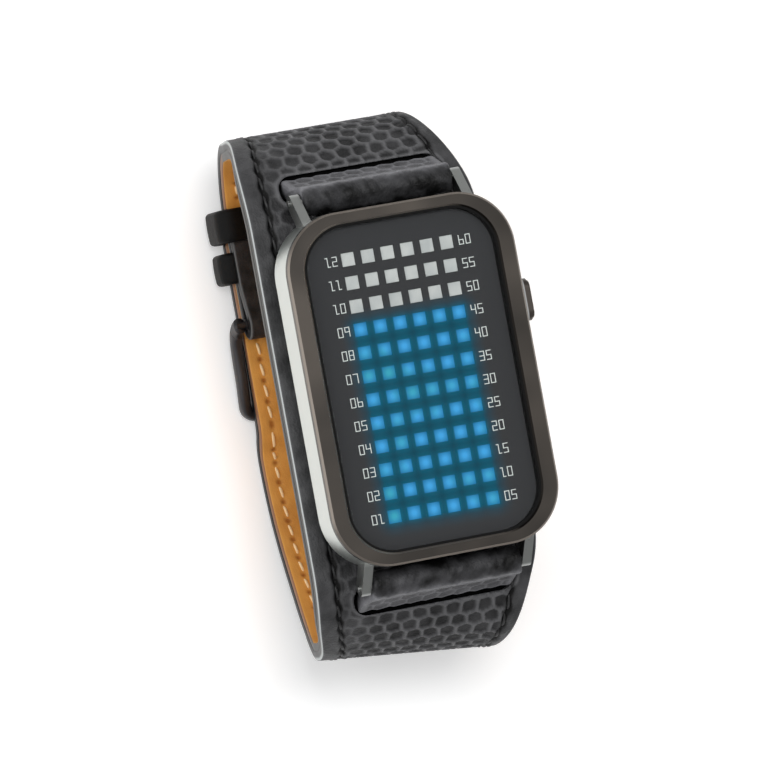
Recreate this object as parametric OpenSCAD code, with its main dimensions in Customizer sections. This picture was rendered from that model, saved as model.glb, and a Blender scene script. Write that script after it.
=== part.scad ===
// Wristwatch with a grid of small square lights for the hours and the minutes, on a wide
// leather cuff that is closed by a pin buckle. The dial faces up (+Z), 12 o'clock is +Y and
// the push button is at +X. The origin is the middle of the crystal's outer face.

/* [Case] */
// Width of the case, from 9 to 3 o'clock
case_w = 34.5; // [32:0.5:38]
// Length of the case, from 12 to 6 o'clock
case_l = 51.2; // [50:0.2:54]
// Corner radius of the case, seen from above
case_r = 8.4; // [7.6:0.2:9.6]
// Height of the upright steel side under the bezel
side_h = 5.7; // [5.4:0.1:6.6]
// Height of the sloping belly under the side
belly_h = 2.7; // [2.5:0.1:3.4]
// How far the belly slopes in
belly_in = 1.4; // [0.8:0.1:1.6]
// Thickness of the steel wall round the movement
wall_t = 3.55; // [3.4:0.05:3.8]
// Corner radius of the space for the movement
hollow_r = 7; // [6.6:0.1:7.6]
// Thickness of the back plate
back_t = 1.8; // [1.6:0.1:2.4]
// Step between the belly's lower edge and the back plate's edge
back_step = 0.3; // [0.1:0.05:0.4]
// Chamfer on the lower edge of the back plate
back_chamfer = 0.5; // [0.2:0.1:0.8]

/* [Bezel and crystal] */
// Thickness of the bezel
bezel_t = 1.2; // [1.1:0.1:1.3]
// Width of the bezel along the long sides
rim_side = 2.6; // [2.4:0.1:2.7]
// Width of the bezel at the two ends
rim_end = 1.8; // [1.7:0.1:2]
// Corner radius of the opening in the bezel
opening_r = 6.7; // [6.2:0.1:7.2]
// Chamfer round the outer top edge of the bezel
bezel_chamfer = 0.3; // [0.1:0.05:0.5]
// Chamfer round the opening of the bezel
opening_chamfer = 0.25; // [0.1:0.05:0.4]
// Thickness of the crystal
crystal_t = 1.5; // [1.4:0.1:1.6]
// Depth of the crystal's face below the bezel's
crystal_drop = 0.1; // [0.05:0.05:0.15]
// Width of the black gasket that shows round the crystal
gasket_w = 0.35; // [0.2:0.05:0.45]

/* [Display] */
// Columns of lights
light_cols = 6; // [4:1:6]
// Rows of lights, one for each hour
light_rows = 12; // [8:1:12]
// Rows from the top that are not lit
dark_rows = 3; // [1:1:6]
// Distance between columns
col_pitch = 3; // [2.8:0.1:3.2]
// Distance between rows
row_pitch = 3.4; // [3.2:0.05:3.5]
// Side of each square window
window = 2; // [1.6:0.1:2.2]
// Thickness of the black dial plate
dial_t = 0.7; // [0.5:0.1:0.9]
// Height of each square light above the circuit board
light_h = 1.35; // [1.2:0.05:1.5]
// Thickness of the circuit board
board_t = 0.6; // [0.4:0.05:0.6]

/* [Cells] */
// Space between a coin cell and the end of the hollow
cell_edge = 1.25; // [1:0.05:2]
// Thickness of each coin cell
cell_h = 3.2; // [2.8:0.1:3.2]
// Gap between the two coin cells
cell_gap = 1.6; // [1:0.1:2.5]

/* [Push button] */
// Place of the button above the middle of the case
button_y = 8.6; // [4:0.1:12]
// Depth of the button's axis below the top of the bezel
button_drop = 4.9; // [4.9:0.05:5]
// Length of the button's cap
cap_l = 6.2; // [5:0.1:7]
// Height of the button's cap
cap_h = 2.8; // [2.4:0.1:2.9]
// How far the cap stands out of the case
cap_out = 2.2; // [1.8:0.1:3]
// Diameter of the button's stem
stem_d = 1.5; // [1.3:0.05:1.5]
// Travel of the button
button_travel = 0.7; // [0.5:0.05:0.7]

/* [Lugs and their bars] */
// Space between the two lugs of an end
lug_gap = 23.2; // [20:0.2:23.4]
// Thickness of each lug
lug_t = 1.4; // [1.2:0.1:2.4]
// Radius of the lug's round tip
lug_tip_r = 1.2; // [1:0.1:1.8]
// Distance of the bar from the end of the case
bar_out = 2.5; // [2.5:0.05:3]
// Depth of the bar below the top of the bezel
bar_drop = 7.3; // [6.8:0.1:7.4]
// Diameter of the spring bar's tube
bar_d = 1.8; // [1.5:0.1:1.8]
// Diameter of the spring bar's thin tips
bar_tip_d = 0.86; // [0.7:0.02:0.9]
// Thickness of the thin leather that wraps the bar
wrap_t = 1.25; // [1:0.05:1.25]
// Lean of the wrap from the bar down to the slot
wrap_lean = 20; // [16:1:24]

/* [Cuff] */
// Length of the space for the wrist, along the dial
wrist_l = 73.2; // [71:0.2:80]
// Height of the space for the wrist
wrist_h = 27.6; // [26:0.2:36]
// Width of the cuff under the case
cuff_w = 33; // [31:0.5:38]
// Half-width of the cuff at its 12 and 6 o'clock ends, towards 3 o'clock
waist_3 = 11.5; // [11:0.1:14]
// The same towards 9 o'clock
waist_9 = 15.4; // [13:0.1:16]
// How much wider the front is cut towards 9 o'clock
wide_9 = 1.5; // [0:0.1:2]
// Half-width of the strap where it turns to the back
heel_half = 13; // [12.6:0.1:13.4]
// Width of the strap at the buckle
strap_w = 24.8; // [20:0.2:24.8]
// Thickness of the black outer leather
outer_t = 1.5; // [1.2:0.1:1.8]
// Thickness of the tan lining
lining_t = 1.3; // [1:0.1:1.5]
// Outer radius where the cuff turns down past the case
shoulder_r = 15; // [12:0.5:15.5]
// Outer radius where the 12 o'clock side turns to the back
heel_r = 10.5; // [8:0.5:10.5]
// Outer radius where the 6 o'clock side turns to the back
low_heel_r = 12.5; // [9:0.5:13]
// Straight stretch of the cuff at the 6 o'clock end
low_side = 3; // [1:0.5:4]
// Length of each slot that lets the wrap through
slot_l = 25; // [23:0.5:27]
// Width of the slot, seen from above
slot_w = 4.5; // [4.5:0.1:5.2]
// Corner radius of the slot
slot_r = 2.2; // [1.2:0.1:2.2]
// Gap under the back plate
back_gap = 0.4; // [0.3:0.05:0.8]

/* [Buckle] */
// Place of the buckle's bar past the middle of the case
buckle_y = 12.6; // [11:0.2:13]
// Length of the buckle frame, from its bar to its far edge
frame_l = 14.4; // [13:0.2:16]
// Width of the side plates of the frame
frame_t = 1.3; // [1:0.1:1.8]
// Height of the side plates
frame_h = 2.3; // [1.8:0.1:3]
// Length of the frame's cross bar along the strap
cross_l = 2.4; // [2:0.1:3]
// Diameter of the buckle's bar
pin_d = 1.6; // [1.4:0.1:1.8]
// Width of the prong
prong_w = 1.6; // [1.4:0.1:1.8]
// Thickness of the prong
prong_t = 1.1; // [0.9:0.05:1.1]
// Length of each oval hole in the tail
hole_l = 4.2; // [4.2:0.1:4.6]
// Width of each oval hole
hole_w = 2.2; // [2.1:0.1:2.6]
// Distance between the holes
hole_pitch = 6.5; // [5.5:0.1:7]
// Place of the tail's tip past the middle of the case
tail_end = 32; // [31:0.5:33]
// Radius of the bend over the frame's bar, outer side
weave_r = 7; // [6:0.5:9]

/* [Keepers] */
// Thickness of the fixed keeper's leather
keeper_t = 1.6; // [1.4:0.1:1.8]
// Width of the fixed keeper
fixed_w = 4.7; // [4:0.1:5]
// Place of the fixed keeper past the middle of the case
fixed_y = 21.2; // [21:0.1:21.4]
// Width of the free keeper
free_w = 5; // [4.4:0.1:5]
// Space between the two keepers
keeper_gap = 1.4; // [1.3:0.1:1.6]
// Thickness of the free keeper's leather
free_t = 1.4; // [1.2:0.1:1.5]

/* [Hidden] */

$fn = 96;
// Clearance between pieces of leather, and between leather and steel
fit = 0.3;
// Running clearance of a pin or a stem in its hole, on the radius
run_fit = 0.05;
// Overreach of a cutting body past the face that it opens
over = 1;
// Clearance round the button's cap in its pocket and in its collar
cap_fit = 0.1;

// Heights are counted up from the table that the closed cuff lies on. These are the
// layers at the back of the cuff.
strap_t = outer_t + lining_t;
tail_z = keeper_t + fit;
strap_z = tail_z + strap_t + fit;
front_z = strap_z + strap_t + wrist_h + strap_t;

// Heights of the case
case_z = front_z + back_gap;
belly_z = case_z + back_t;
side_z = belly_z + belly_h;
bezel_z = side_z + side_h;
top_z = bezel_z + bezel_t;
crystal_z = top_z - crystal_drop - crystal_t;
dial_z = crystal_z - dial_t;
light_top = crystal_z - 0.15;
board_top = light_top - light_h;
board_z = board_top - board_t;
sheet_t = 0.15;
frame_z = belly_z + 2 * sheet_t;
cell_z = frame_z + 0.1;
contact_t = 0.2;
contact_z = cell_z + cell_h + 0.1;
web_t = 0.4;
chip_side = 6;
chip_h = 1;
can_l = 5;
can_d = 1.2;

// Outlines of the case
opening_w = case_w - 2 * rim_side;
opening_l = case_l - 2 * rim_end;
hollow_w = case_w - 2 * wall_t;
hollow_l = case_l - 2 * wall_t;
cell_d = (hollow_l - 2 * cell_edge - cell_gap) / 2;
cell_pitch = cell_d + cell_gap;
contact_w = 6;
contact_l = cell_pitch + 0.58 * cell_d;
room_w = hollow_w - cell_h - 3.8;
room_l = hollow_l - cell_h - 4.8;
foot_w = case_w - 2 * belly_in;
foot_l = case_l - 2 * belly_in;
foot_r = case_r - belly_in;
plate_w = foot_w - 2 * back_step;
plate_l = foot_l - 2 * back_step;
plate_r = foot_r - back_step;

// Small parts of the case
screw_d = 1;
screw_head_d = 1.8;
screw_head_h = 0.7;
screw_deep = 2.2;
screw_at = plate_r - screw_head_d / 2 - 0.1;
screw_x = case_w / 2 - case_r + screw_at / sqrt(2);
screw_y = case_l / 2 - case_r + screw_at / sqrt(2);
seal_w = 0.6;
seal_h = 0.5;
seal_in = 0.25;

// Lugs
bar_y = case_l / 2 + bar_out;
bar_z = top_z - bar_drop;
lug_x = lug_gap / 2;
wrap_r = bar_d / 2 + run_fit + wrap_t;

// Cuff
half_l = wrist_l / 2 + strap_t;
shoulder_y = half_l - shoulder_r;
shoulder_z = front_z - shoulder_r;
heel_y = half_l - heel_r;
heel_z = strap_z + heel_r;
low_heel_y = low_heel_r - half_l;
low_heel_z = shoulder_z - low_side;
split_z = shoulder_z - low_side / 2;
slot_y = bar_y + slot_w / 2 - 0.3;
tuck_t = 0.7;
tuck_from = 72;
tuck_to = 44;
tuck_w = slot_l + 0.4;
// The wrap reaches this far along its lean, and spreads from just under the lugs' tips
wrap_l = (bar_z - front_z + outer_t + 1.2) / cos(wrap_lean) + 1;
flare_at = lug_tip_r + fit + 0.6;
wrap_flare_in = 0.7;

// Buckle
frame_gap = strap_w / 2 + fit;
frame_end = buckle_y - frame_l;
fold_r = pin_d / 2 + run_fit + outer_t;
pin_z = strap_z + fold_r;
cross_top = tail_z - fit;
frame_low = 0.15;
hub_r = pin_d / 2 + run_fit + 0.85;
hole_y = buckle_y + 0.2 - hole_l / 2;
lining_end = fixed_y + fixed_w / 2 + keeper_gap + free_w / 2;
fold_slope = 7;
pin_tip_d = 1;

// The tail rises over the frame's cross bar in two arcs
weave_in_r = 4;
weave_turn = acos(1 - tail_z / (weave_r + weave_in_r));
weave_y = frame_end - 0.2;
low_y = weave_y - (weave_r + weave_in_r) * sin(weave_turn);
// Radius of the long arc that meets the low heel and lies on the table at low_y
sole_r = (pow(low_y - low_heel_y, 2) + pow(low_heel_z, 2) - pow(low_heel_r, 2))
    / (2 * (low_heel_z - low_heel_r));
sole_turn = atan2(low_heel_z - sole_r, low_heel_y - low_y) + 360;
rise_steps = 8;
// Small overlap of the two long arcs where they meet, in degrees
lap = 0.1;

// Button
button_z = top_z - button_drop;
collar_rim = 0.4;
collar_out = 1.1;
cap_in = 0.2;
pocket_in = cap_in + button_travel + 0.05;
spring_in = 2;
seal_at = 2.3;
seal_groove = 0.7;
seal_r = 0.27;
clip_t = 0.25;
clip_r = 1.1;
stem_end = hollow_w / 2 - 0.8;
spring_turns = 3;
spring_wire = 0.24;

// Moves the model down from the table's frame, so that the crystal's outer face is at Z = 0
module place() {
    translate([0, 0, crystal_drop - top_z]) children();
}

// Rounded rectangle about the origin
module round_rect(w, l, r) {
    square([w - 2 * r, l], center = true);
    square([w, l - 2 * r], center = true);
    for (x = [-1, 1], y = [-1, 1])
        translate([x * (w / 2 - r), y * (l / 2 - r)]) circle(r);
}

module slab(w, l, r, z, h) {
    translate([0, 0, z]) linear_extrude(h) round_rect(w, l, r);
}

// Slab whose outline w by l is at its top, and which is smaller by inset all round at its foot
module sloped_slab(w, l, r, z, h, inset) {
    translate([0, 0, z]) {
        for (x = [-1, 1], y = [-1, 1])
            translate([x * (w / 2 - r), y * (l / 2 - r), 0]) cylinder(h = h, r1 = r - inset, r2 = r);
        rotate([90, 0, 0]) linear_extrude(l - 2 * r, center = true) trapezoid(w, h, inset);
        rotate([90, 0, 90]) linear_extrude(w - 2 * r, center = true) trapezoid(l, h, inset);
    }
}

module trapezoid(w, h, inset) {
    polygon([[inset - w / 2, 0], [w / 2 - inset, 0], [w / 2, h], [-w / 2, h]]);
}

// Draws its children, an outline in Y and Z, as a solid of width w across the strap
module across(w) {
    rotate([90, 0, 90]) linear_extrude(w, center = true) children();
}

// Part of a flat ring in Y and Z, from angle a0 to a1
module bend(y, z, r0, r1, a0, a1) {
    reach = 2 * r1;
    translate([y, z]) intersection() {
        difference() {
            circle(r1);
            circle(r0);
        }
        polygon([[0, 0], for (i = [0:4]) let (a = a0 + (a1 - a0) * i / 4)
            [reach * cos(a), reach * sin(a)]]);
    }
}

// Run of constant thickness: a block from y0 to y1 and from z0 to z1
module run(y0, y1, z0, z1) {
    translate([y0, z0]) square([y1 - y0, z1 - z0]);
}

// Outline with two round ends, length l along Y and height h
module oval(l, h) {
    square([l - h, h], center = true);
    for (s = [-1, 1]) translate([s * (l - h) / 2, 0]) circle(d = h);
}

// Places a button outline so that it is extruded from x0 to x1
module along_button(x0, x1) {
    translate([x0, button_y, button_z]) rotate([90, 0, 90]) linear_extrude(x1 - x0) children();
}

module mid_case() {
    color("silver") place() difference() {
        union() {
            slab(case_w, case_l, case_r, side_z, side_h);
            sloped_slab(case_w, case_l, case_r, belly_z, belly_h, belly_in);
            for (x = [-1, 1], y = [-1, 1]) at_corner(x, y) lug();
        }
        slab(opening_w, opening_l, opening_r, dial_z, bezel_z - dial_z + over);
        slab(hollow_w, hollow_l, hollow_r, belly_z - over, dial_z - belly_z + 2 * over);
        difference() {
            slab(hollow_w + 2 * (seal_in + seal_w), hollow_l + 2 * (seal_in + seal_w),
                hollow_r + seal_in + seal_w, belly_z - over, seal_h + over);
            slab(hollow_w + 2 * seal_in, hollow_l + 2 * seal_in, hollow_r + seal_in, belly_z - 2 * over,
                seal_h + 3 * over);
        }
        for (x = [-1, 1], y = [-1, 1]) translate([x * screw_x, y * screw_y, belly_z - over])
            cylinder(h = screw_deep + over, d = screw_d);
        for (y = [-1, 1]) translate([0, y * bar_y, bar_z]) rotate([0, 90, 0])
            cylinder(h = case_w, d = bar_tip_d + 2 * run_fit, center = true);
        along_button(case_w / 2 - pocket_in, case_w / 2 + over)
            oval(cap_l + 2 * cap_fit, cap_h + 2 * cap_fit);
        along_button(case_w / 2 - spring_in, case_w / 2) circle(1.35);
        along_button(case_w / 2 - seal_at - seal_groove, case_w / 2 - seal_at) circle(1.35);
        along_button(hollow_w / 2 - over, case_w / 2) circle(stem_d / 2 + run_fit);
    }
}

// Carries a lug, drawn for the 3 o'clock side of the 12 o'clock end, to its corner
module at_corner(x, y) {
    mirror([0, y < 0 ? 1 : 0, 0]) translate([x * (lug_x + lug_t / 2), 0, 0]) children();
}

module lug() {
    root_y = hollow_l / 2 + 1;
    across(lug_t) {
        translate([bar_y, bar_z]) circle(lug_tip_r);
        polygon([[root_y, side_z + 1], [case_l / 2 - 1, side_z + 1],
            [bar_y - lug_tip_r * cos(60), bar_z - lug_tip_r * sin(60)], [bar_y, bar_z],
            [bar_y + lug_tip_r * cos(50), bar_z + lug_tip_r * sin(50)], [case_l / 2 - 2, bezel_z - 0.2],
            [root_y, bezel_z - 0.1]]);
    }
}

module bezel() {
    color("#5c5550") place() difference() {
        union() {
            slab(case_w, case_l, case_r, bezel_z, bezel_t - bezel_chamfer);
            translate([0, 0, 2 * top_z - bezel_chamfer]) mirror([0, 0, 1])
                sloped_slab(case_w, case_l, case_r, top_z - bezel_chamfer, bezel_chamfer, bezel_chamfer);
        }
        slab(opening_w, opening_l, opening_r, bezel_z - over, bezel_t + 2 * over);
        sloped_slab(opening_w + 2 * opening_chamfer, opening_l + 2 * opening_chamfer,
            opening_r + opening_chamfer, top_z - opening_chamfer, opening_chamfer, opening_chamfer);
    }
}

module crystal() {
    color("#303236", 0.5) place() slab(opening_w - 2 * gasket_w, opening_l - 2 * gasket_w,
        opening_r - gasket_w, crystal_z, crystal_t);
}

module crystal_gasket() {
    color("#111111") place() difference() {
        slab(opening_w, opening_l, opening_r, crystal_z, crystal_t - 0.15);
        slab(opening_w - 2 * gasket_w, opening_l - 2 * gasket_w, opening_r - gasket_w, crystal_z - over,
            crystal_t + 2 * over);
    }
}

// Square outline at the place of each light in rows r0 to r1, counted from the top
module light_grid(side, r0, r1) {
    for (r = [r0:r1], c = [0:light_cols - 1])
        translate([(c - (light_cols - 1) / 2) * col_pitch, ((light_rows - 1) / 2 - r) * row_pitch])
            square(side, center = true);
}

module dial_plate() {
    color("#1d1d20") place() translate([0, 0, dial_z]) linear_extrude(dial_t) difference() {
        round_rect(opening_w - 0.1, opening_l - 0.1, opening_r - 0.05);
        light_grid(window, 0, light_rows - 1);
    }
}

module lights(r0, r1) {
    translate([0, 0, board_top]) linear_extrude(light_h) light_grid(window - 0.1, r0, r1);
}

module lit_leds() {
    color("#2f8dff") place() lights(dark_rows, light_rows - 1);
}

module unlit_leds() {
    color("#d8dedb") place() lights(0, dark_rows - 1);
}

module circuit_board() {
    color("#1f5a34") place() slab(hollow_w - 0.6, hollow_l - 0.6, hollow_r - 0.3, board_z, board_t);
}

module driver_chips() {
    color("#222222") place() for (k = [-1:1])
        translate([-hollow_w / 6, k * (room_l - chip_side) / 2.3, board_z - chip_h / 2])
            cube([chip_side, chip_side, chip_h], center = true);
}

module quartz_can() {
    color("#c9c9c9") place() translate([room_w / 4, room_l / 4, board_z - can_d / 2]) rotate([90, 0, 0])
        cylinder(h = can_l, d = can_d);
}

module side_switch() {
    color("#b9b9b9") place() {
        translate([stem_end - button_travel - 0.05 - 3.2, button_y - 1.75, button_z - 1])
            cube([3, 3.5, board_z - button_z + 1]);
        along_button(stem_end - button_travel - 0.3, stem_end - button_travel - 0.05) circle(0.5);
    }
}

module movement_frame() {
    color("#e4e2da") place() difference() {
        slab(hollow_w - 0.4, hollow_l - 0.4, hollow_r - 0.2, frame_z, board_z - frame_z);
        // Room for the chips, over a thin web
        slab(room_w, room_l, hollow_r / 2, contact_z + contact_t + web_t, board_z - contact_z);
        for (y = [-1, 1]) translate([0, y * cell_pitch / 2, frame_z - over])
            cylinder(h = cell_h + 0.1 + over + 0.1, d = cell_d + 0.3);
        translate([-contact_w / 2 - cap_fit, -contact_l / 2 - cap_fit, cell_z])
            cube([contact_w + 2 * cap_fit, contact_l + 2 * cap_fit, contact_z + contact_t - cell_z]);
        // Room for the switch and for the end of the button
        translate([stem_end - 5.5, button_y - 2.4, button_z - 1.4])
            cube([hollow_w / 2 - stem_end + 6, 4.8, board_z - button_z + 1.4 + over]);
    }
}

module coin_cells() {
    color("#c4c6c8") place() for (y = [-1, 1]) translate([0, y * cell_pitch / 2, cell_z]) {
        cylinder(h = 0.5, d = cell_d - 3);
        translate([0, 0, 0.5]) cylinder(h = cell_h - 0.5, d = cell_d);
    }
}

module cell_contact() {
    color("#cdb36b") place() translate([0, 0, contact_z + contact_t / 2])
        cube([contact_w, contact_l, contact_t], center = true);
}

module insulator_sheet() {
    color("#d9b44a") place() slab(hollow_w - 1, hollow_l - 1, hollow_r - 0.5, belly_z, sheet_t);
}

module case_back() {
    color("#a9aaac") place() difference() {
        union() {
            slab(plate_w, plate_l, plate_r, case_z + back_chamfer, back_t - back_chamfer);
            sloped_slab(plate_w, plate_l, plate_r, case_z, back_chamfer, back_chamfer);
        }
        for (x = [-1, 1], y = [-1, 1]) translate([x * screw_x, y * screw_y, case_z - over]) {
            cylinder(h = back_t + 2 * over, d = screw_d + 0.1);
            cylinder(h = screw_head_h + over, d = screw_head_d + 0.1);
        }
    }
}

module back_gasket() {
    color("#111111") place() difference() {
        slab(hollow_w + 2 * (seal_in + seal_w), hollow_l + 2 * (seal_in + seal_w),
            hollow_r + seal_in + seal_w, belly_z, seal_h);
        slab(hollow_w + 2 * seal_in, hollow_l + 2 * seal_in, hollow_r + seal_in, belly_z - over,
            seal_h + 2 * over);
    }
}

module back_screws() {
    color("#c8c8c8") place() for (x = [-1, 1], y = [-1, 1]) translate([x * screw_x, y * screw_y, case_z])
        difference() {
            union() {
                translate([0, 0, 0.1]) cylinder(h = back_t + screw_deep - 0.3, d = screw_d - 0.04);
                translate([0, 0, 0.1]) cylinder(h = screw_head_h - 0.1, d = screw_head_d);
            }
            translate([-screw_head_d, -0.15, -over]) cube([2 * screw_head_d, 0.3, over + 0.35]);
        }
}

module button() {
    color("#4d4844") place() difference() {
        union() {
            along_button(case_w / 2 - cap_in, case_w / 2 + cap_out - 0.35) oval(cap_l, cap_h);
            along_button(case_w / 2, case_w / 2 + cap_out) oval(cap_l - 0.7, cap_h - 0.7);
            along_button(stem_end, case_w / 2) circle(stem_d / 2);
        }
        // Groove for the clip
        along_button(hollow_w / 2 - 0.05 - clip_t, hollow_w / 2 - 0.05) difference() {
            circle(stem_d);
            circle(stem_d / 2 - 0.2);
        }
    }
}

module button_collar() {
    color("#d4d6d4") place() along_button(case_w / 2, case_w / 2 + collar_out) difference() {
        oval(cap_l + 2 * (cap_fit + collar_rim), cap_h + 2 * (cap_fit + collar_rim));
        oval(cap_l + 2 * cap_fit, cap_h + 2 * cap_fit);
    }
}

// Small coil round the stem, drawn as a tube along a helix
module button_spring() {
    sides = 6;
    steps = 16 * spring_turns;
    coil_r = stem_d / 2 + 0.1 + spring_wire / 2;
    x0 = case_w / 2 - spring_in + spring_wire / 2;
    x1 = case_w / 2 - cap_in - spring_wire / 2;
    rings = [for (i = [0:steps]) let (a = 360 * spring_turns * i / steps)
        [for (k = [0:sides - 1]) let (b = 360 * k / sides, r = coil_r + spring_wire / 2 * cos(b))
            [x0 + (x1 - x0) * i / steps + spring_wire / 2 * sin(b), button_y + r * cos(a),
                button_z + r * sin(a)]]];
    color("#b5b5b5") place() polyhedron(
        points = [for (ring = rings) each ring],
        faces = [[for (k = [0:sides - 1]) k], [for (k = [sides - 1:-1:0]) steps * sides + k],
            for (i = [0:steps - 1], k = [0:sides - 1]) let (n = (k + 1) % sides)
                each [[i * sides + n, i * sides + k, (i + 1) * sides + k],
                    [i * sides + n, (i + 1) * sides + k, (i + 1) * sides + n]]]);
}

module button_seal() {
    color("#111111") place() translate([case_w / 2 - seal_at - seal_groove / 2, button_y, button_z])
        rotate([0, 90, 0]) rotate_extrude() translate([stem_d / 2 + run_fit + seal_r, 0]) circle(seal_r);
}

module button_clip() {
    color("#b0b0b0") place() along_button(hollow_w / 2 - 0.05 - clip_t, hollow_w / 2 - 0.05) difference() {
        circle(clip_r);
        circle(stem_d / 2 - 0.2);
        translate([0, -clip_r]) square([0.6, 2 * clip_r], center = true);
    }
}

module spring_bars() {
    color("#c4c4c4") place() for (y = [-1, 1]) translate([0, y * bar_y, bar_z]) rotate([0, 90, 0])
        cylinder(h = lug_gap - 0.4, d = bar_d, center = true);
}

module spring_bar_tips() {
    color("#dadada") place() for (x = [-1, 1], y = [-1, 1])
        translate([x * (lug_gap / 2 - 0.2), y * bar_y, bar_z]) rotate([0, 90 * x, 0])
            cylinder(h = lug_t + 0.5, d = bar_tip_d);
}

// Leather that wraps the bar, goes down between the lugs, spreads under them, passes through
// the slot and is tucked between the layers
module lug_strap() {
    half = lug_gap / 2 - fit;
    neck = half - 0.1;
    flare = slot_l / 2 - wrap_flare_in;
    difference() {
        union() {
            across(2 * half) translate([bar_y, bar_z]) circle(wrap_r);
            difference() {
                translate([0, bar_y, bar_z]) rotate([wrap_lean - 90, 0, 0])
                    linear_extrude(2 * wrap_t, center = true)
                        polygon([[-neck, 0], [neck, 0], [neck, flare_at], [flare, 2 * flare_at - fit],
                            [flare, wrap_l], [-flare, wrap_l], [-flare, 2 * flare_at - fit],
                            [-neck, flare_at]]);
                translate([0, shoulder_y, shoulder_z]) rotate([0, 90, 0])
                    cylinder(h = case_w, r = shoulder_r - outer_t - tuck_t / 2, center = true);
            }
            across(tuck_w) bend(shoulder_y, shoulder_z, shoulder_r - outer_t - tuck_t,
                shoulder_r - outer_t, tuck_to, tuck_from);
        }
        translate([0, bar_y, bar_z]) rotate([0, 90, 0]) cylinder(h = case_w, d = bar_d + 2 * run_fit,
            center = true);
    }
}

module lug_strap_12() {
    color("#262628") place() lug_strap();
}

module lug_strap_6() {
    color("#262628") place() mirror([0, 1, 0]) lug_strap();
}

// Half width of the cuff at y, from the wide front to the waist at its end
// Half-widths of the cuff's front at a distance y from the middle, to 3 o'clock and to
// 9 o'clock. The leather is cut wider on the 9 o'clock side.
function run_out(y) = max(0, (y - case_l / 2 + 0.6) / (half_l - case_l / 2 + 0.6));
function half_3(y) = cuff_w / 2 - (cuff_w / 2 - waist_3) * pow(run_out(y), 1.3);
function half_9(y) = cuff_w / 2 + wide_9 - (cuff_w / 2 + wide_9 - waist_9) * pow(run_out(y), 4);

// Outline of the cuff: wide at the front, with the strap's width at the back
module cuff_plan() {
    steps = 8;
    inner_l = half_l - strap_t;
    ys = concat([for (i = [0:steps]) case_l / 2 + (inner_l - case_l / 2) * i / steps],
        [half_l - strap_t / 2, half_l]);
    y1 = fixed_y + fixed_w / 2 + keeper_gap + free_w + 1;
    top_3 = [for (y = ys) [half_3(y), y]];
    top_9 = [for (y = ys) [-half_9(y), y]];
    back_3 = [[strap_w / 2, y1], [heel_half, inner_l], [heel_half, half_l]];
    back_9 = [[-strap_w / 2, y1], [-waist_9, inner_l], [-waist_9, half_l]];
    intersection() {
        union() {
            translate([0, 0, split_z]) linear_extrude(front_z - split_z + over)
                ring_of(top_3, top_9);
            translate([0, 0, -over]) linear_extrude(split_z + over) ring_of(back_3, back_9);
        }
        // The same outline seen along the strap, where it narrows down the two heels
        rotate([90, 0, 0]) linear_extrude(2 * (half_l + over), center = true)
            polygon([[heel_half - 0.4, -over], [heel_half - 0.4, low_heel_r / 2],
                [heel_half, heel_z + 0.3], [waist_3 - 0.1, split_z + 0.4], [cuff_w, shoulder_z + 4],
                [cuff_w, front_z + over], [-cuff_w, front_z + over], [-cuff_w, shoulder_z + 5],
                [0.1 - waist_9, shoulder_z - 0.5], [1.5 - waist_9, heel_z + 0.3],
                [-heel_half, low_heel_r - 2.4], [0.5 - heel_half, low_heel_r / 2],
                [0.5 - heel_half, -over]]);
    }
}

// Area between a side towards 3 o'clock and a side towards 9 o'clock, both listed from the
// middle outwards, repeated at the 6 o'clock end
module ring_of(a, b) {
    last = len(a) - 1;
    polygon(concat(a, [for (i = [last:-1:0]) b[i]], [for (q = b) [q[0], -q[1]]],
        [for (i = [last:-1:0]) [a[i][0], -a[i][1]]]));
}

// One layer of the closed cuff between the depths d0 and d1 below its outer face, in Y and Z
module cuff_layer(d0, d1, back_from) {
    run(-shoulder_y, shoulder_y, front_z - d1, front_z - d0);
    bend(shoulder_y, shoulder_z, shoulder_r - d1, shoulder_r - d0, 0, 90);
    run(half_l - d1, half_l - d0, heel_z, shoulder_z);
    bend(heel_y, heel_z, heel_r - d1, heel_r - d0, -90, 0);
    run(back_from, heel_y, strap_z + d0, strap_z + d1);
    bend(-shoulder_y, shoulder_z, shoulder_r - d1, shoulder_r - d0, 90, 180);
    run(d0 - half_l, d1 - half_l, low_heel_z, shoulder_z);
    bend(low_heel_y, low_heel_z, low_heel_r - d1, low_heel_r - d0, 180, sole_turn);
    bend(low_y, sole_r, sole_r - d1, sole_r - d0, sole_turn - lap, 270);
    polygon(concat(rise(d0), [for (i = [2 * rise_steps:-1:0]) rise(d1)[i]]));
    run(weave_y, tail_end, tail_z + d0, tail_z + d1);
}

// Points on the tail's rise over the frame's cross bar, at the depth d below the outer face
function rise(d) = concat(
    [for (i = [0:rise_steps]) let (a = weave_turn * i / rise_steps)
        [low_y + (weave_r - d) * sin(a), weave_r - (weave_r - d) * cos(a)]],
    [for (i = [rise_steps - 1:-1:0]) let (a = weave_turn * i / rise_steps)
        [weave_y - (weave_in_r + d) * sin(a), tail_z - weave_in_r + (weave_in_r + d) * cos(a)]]);

// Round end and oval holes of the tail, which both layers share
module tail_cuts() {
    end_r = strap_w / 2;
    translate([0, tail_end, 0]) difference() {
        translate([-end_r - over, -end_r * 0.6, tail_z - over])
            cube([2 * (end_r + over), end_r, strap_t + over + fit]);
        translate([0, -end_r * 1.15, tail_z - 2 * over]) cylinder(h = strap_t + 4 * over, r = end_r * 1.15);
    }
    for (i = [-2:2]) translate([0, hole_y + i * hole_pitch, -over]) linear_extrude(tail_z + strap_t + over
        + fit / 2) rotate(90) oval(hole_l, hole_w);
}

module slots() {
    for (s = [-1, 1]) translate([0, s * slot_y, shoulder_z]) linear_extrude(shoulder_r + over)
        round_rect(slot_l, slot_w, slot_r);
}

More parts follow.
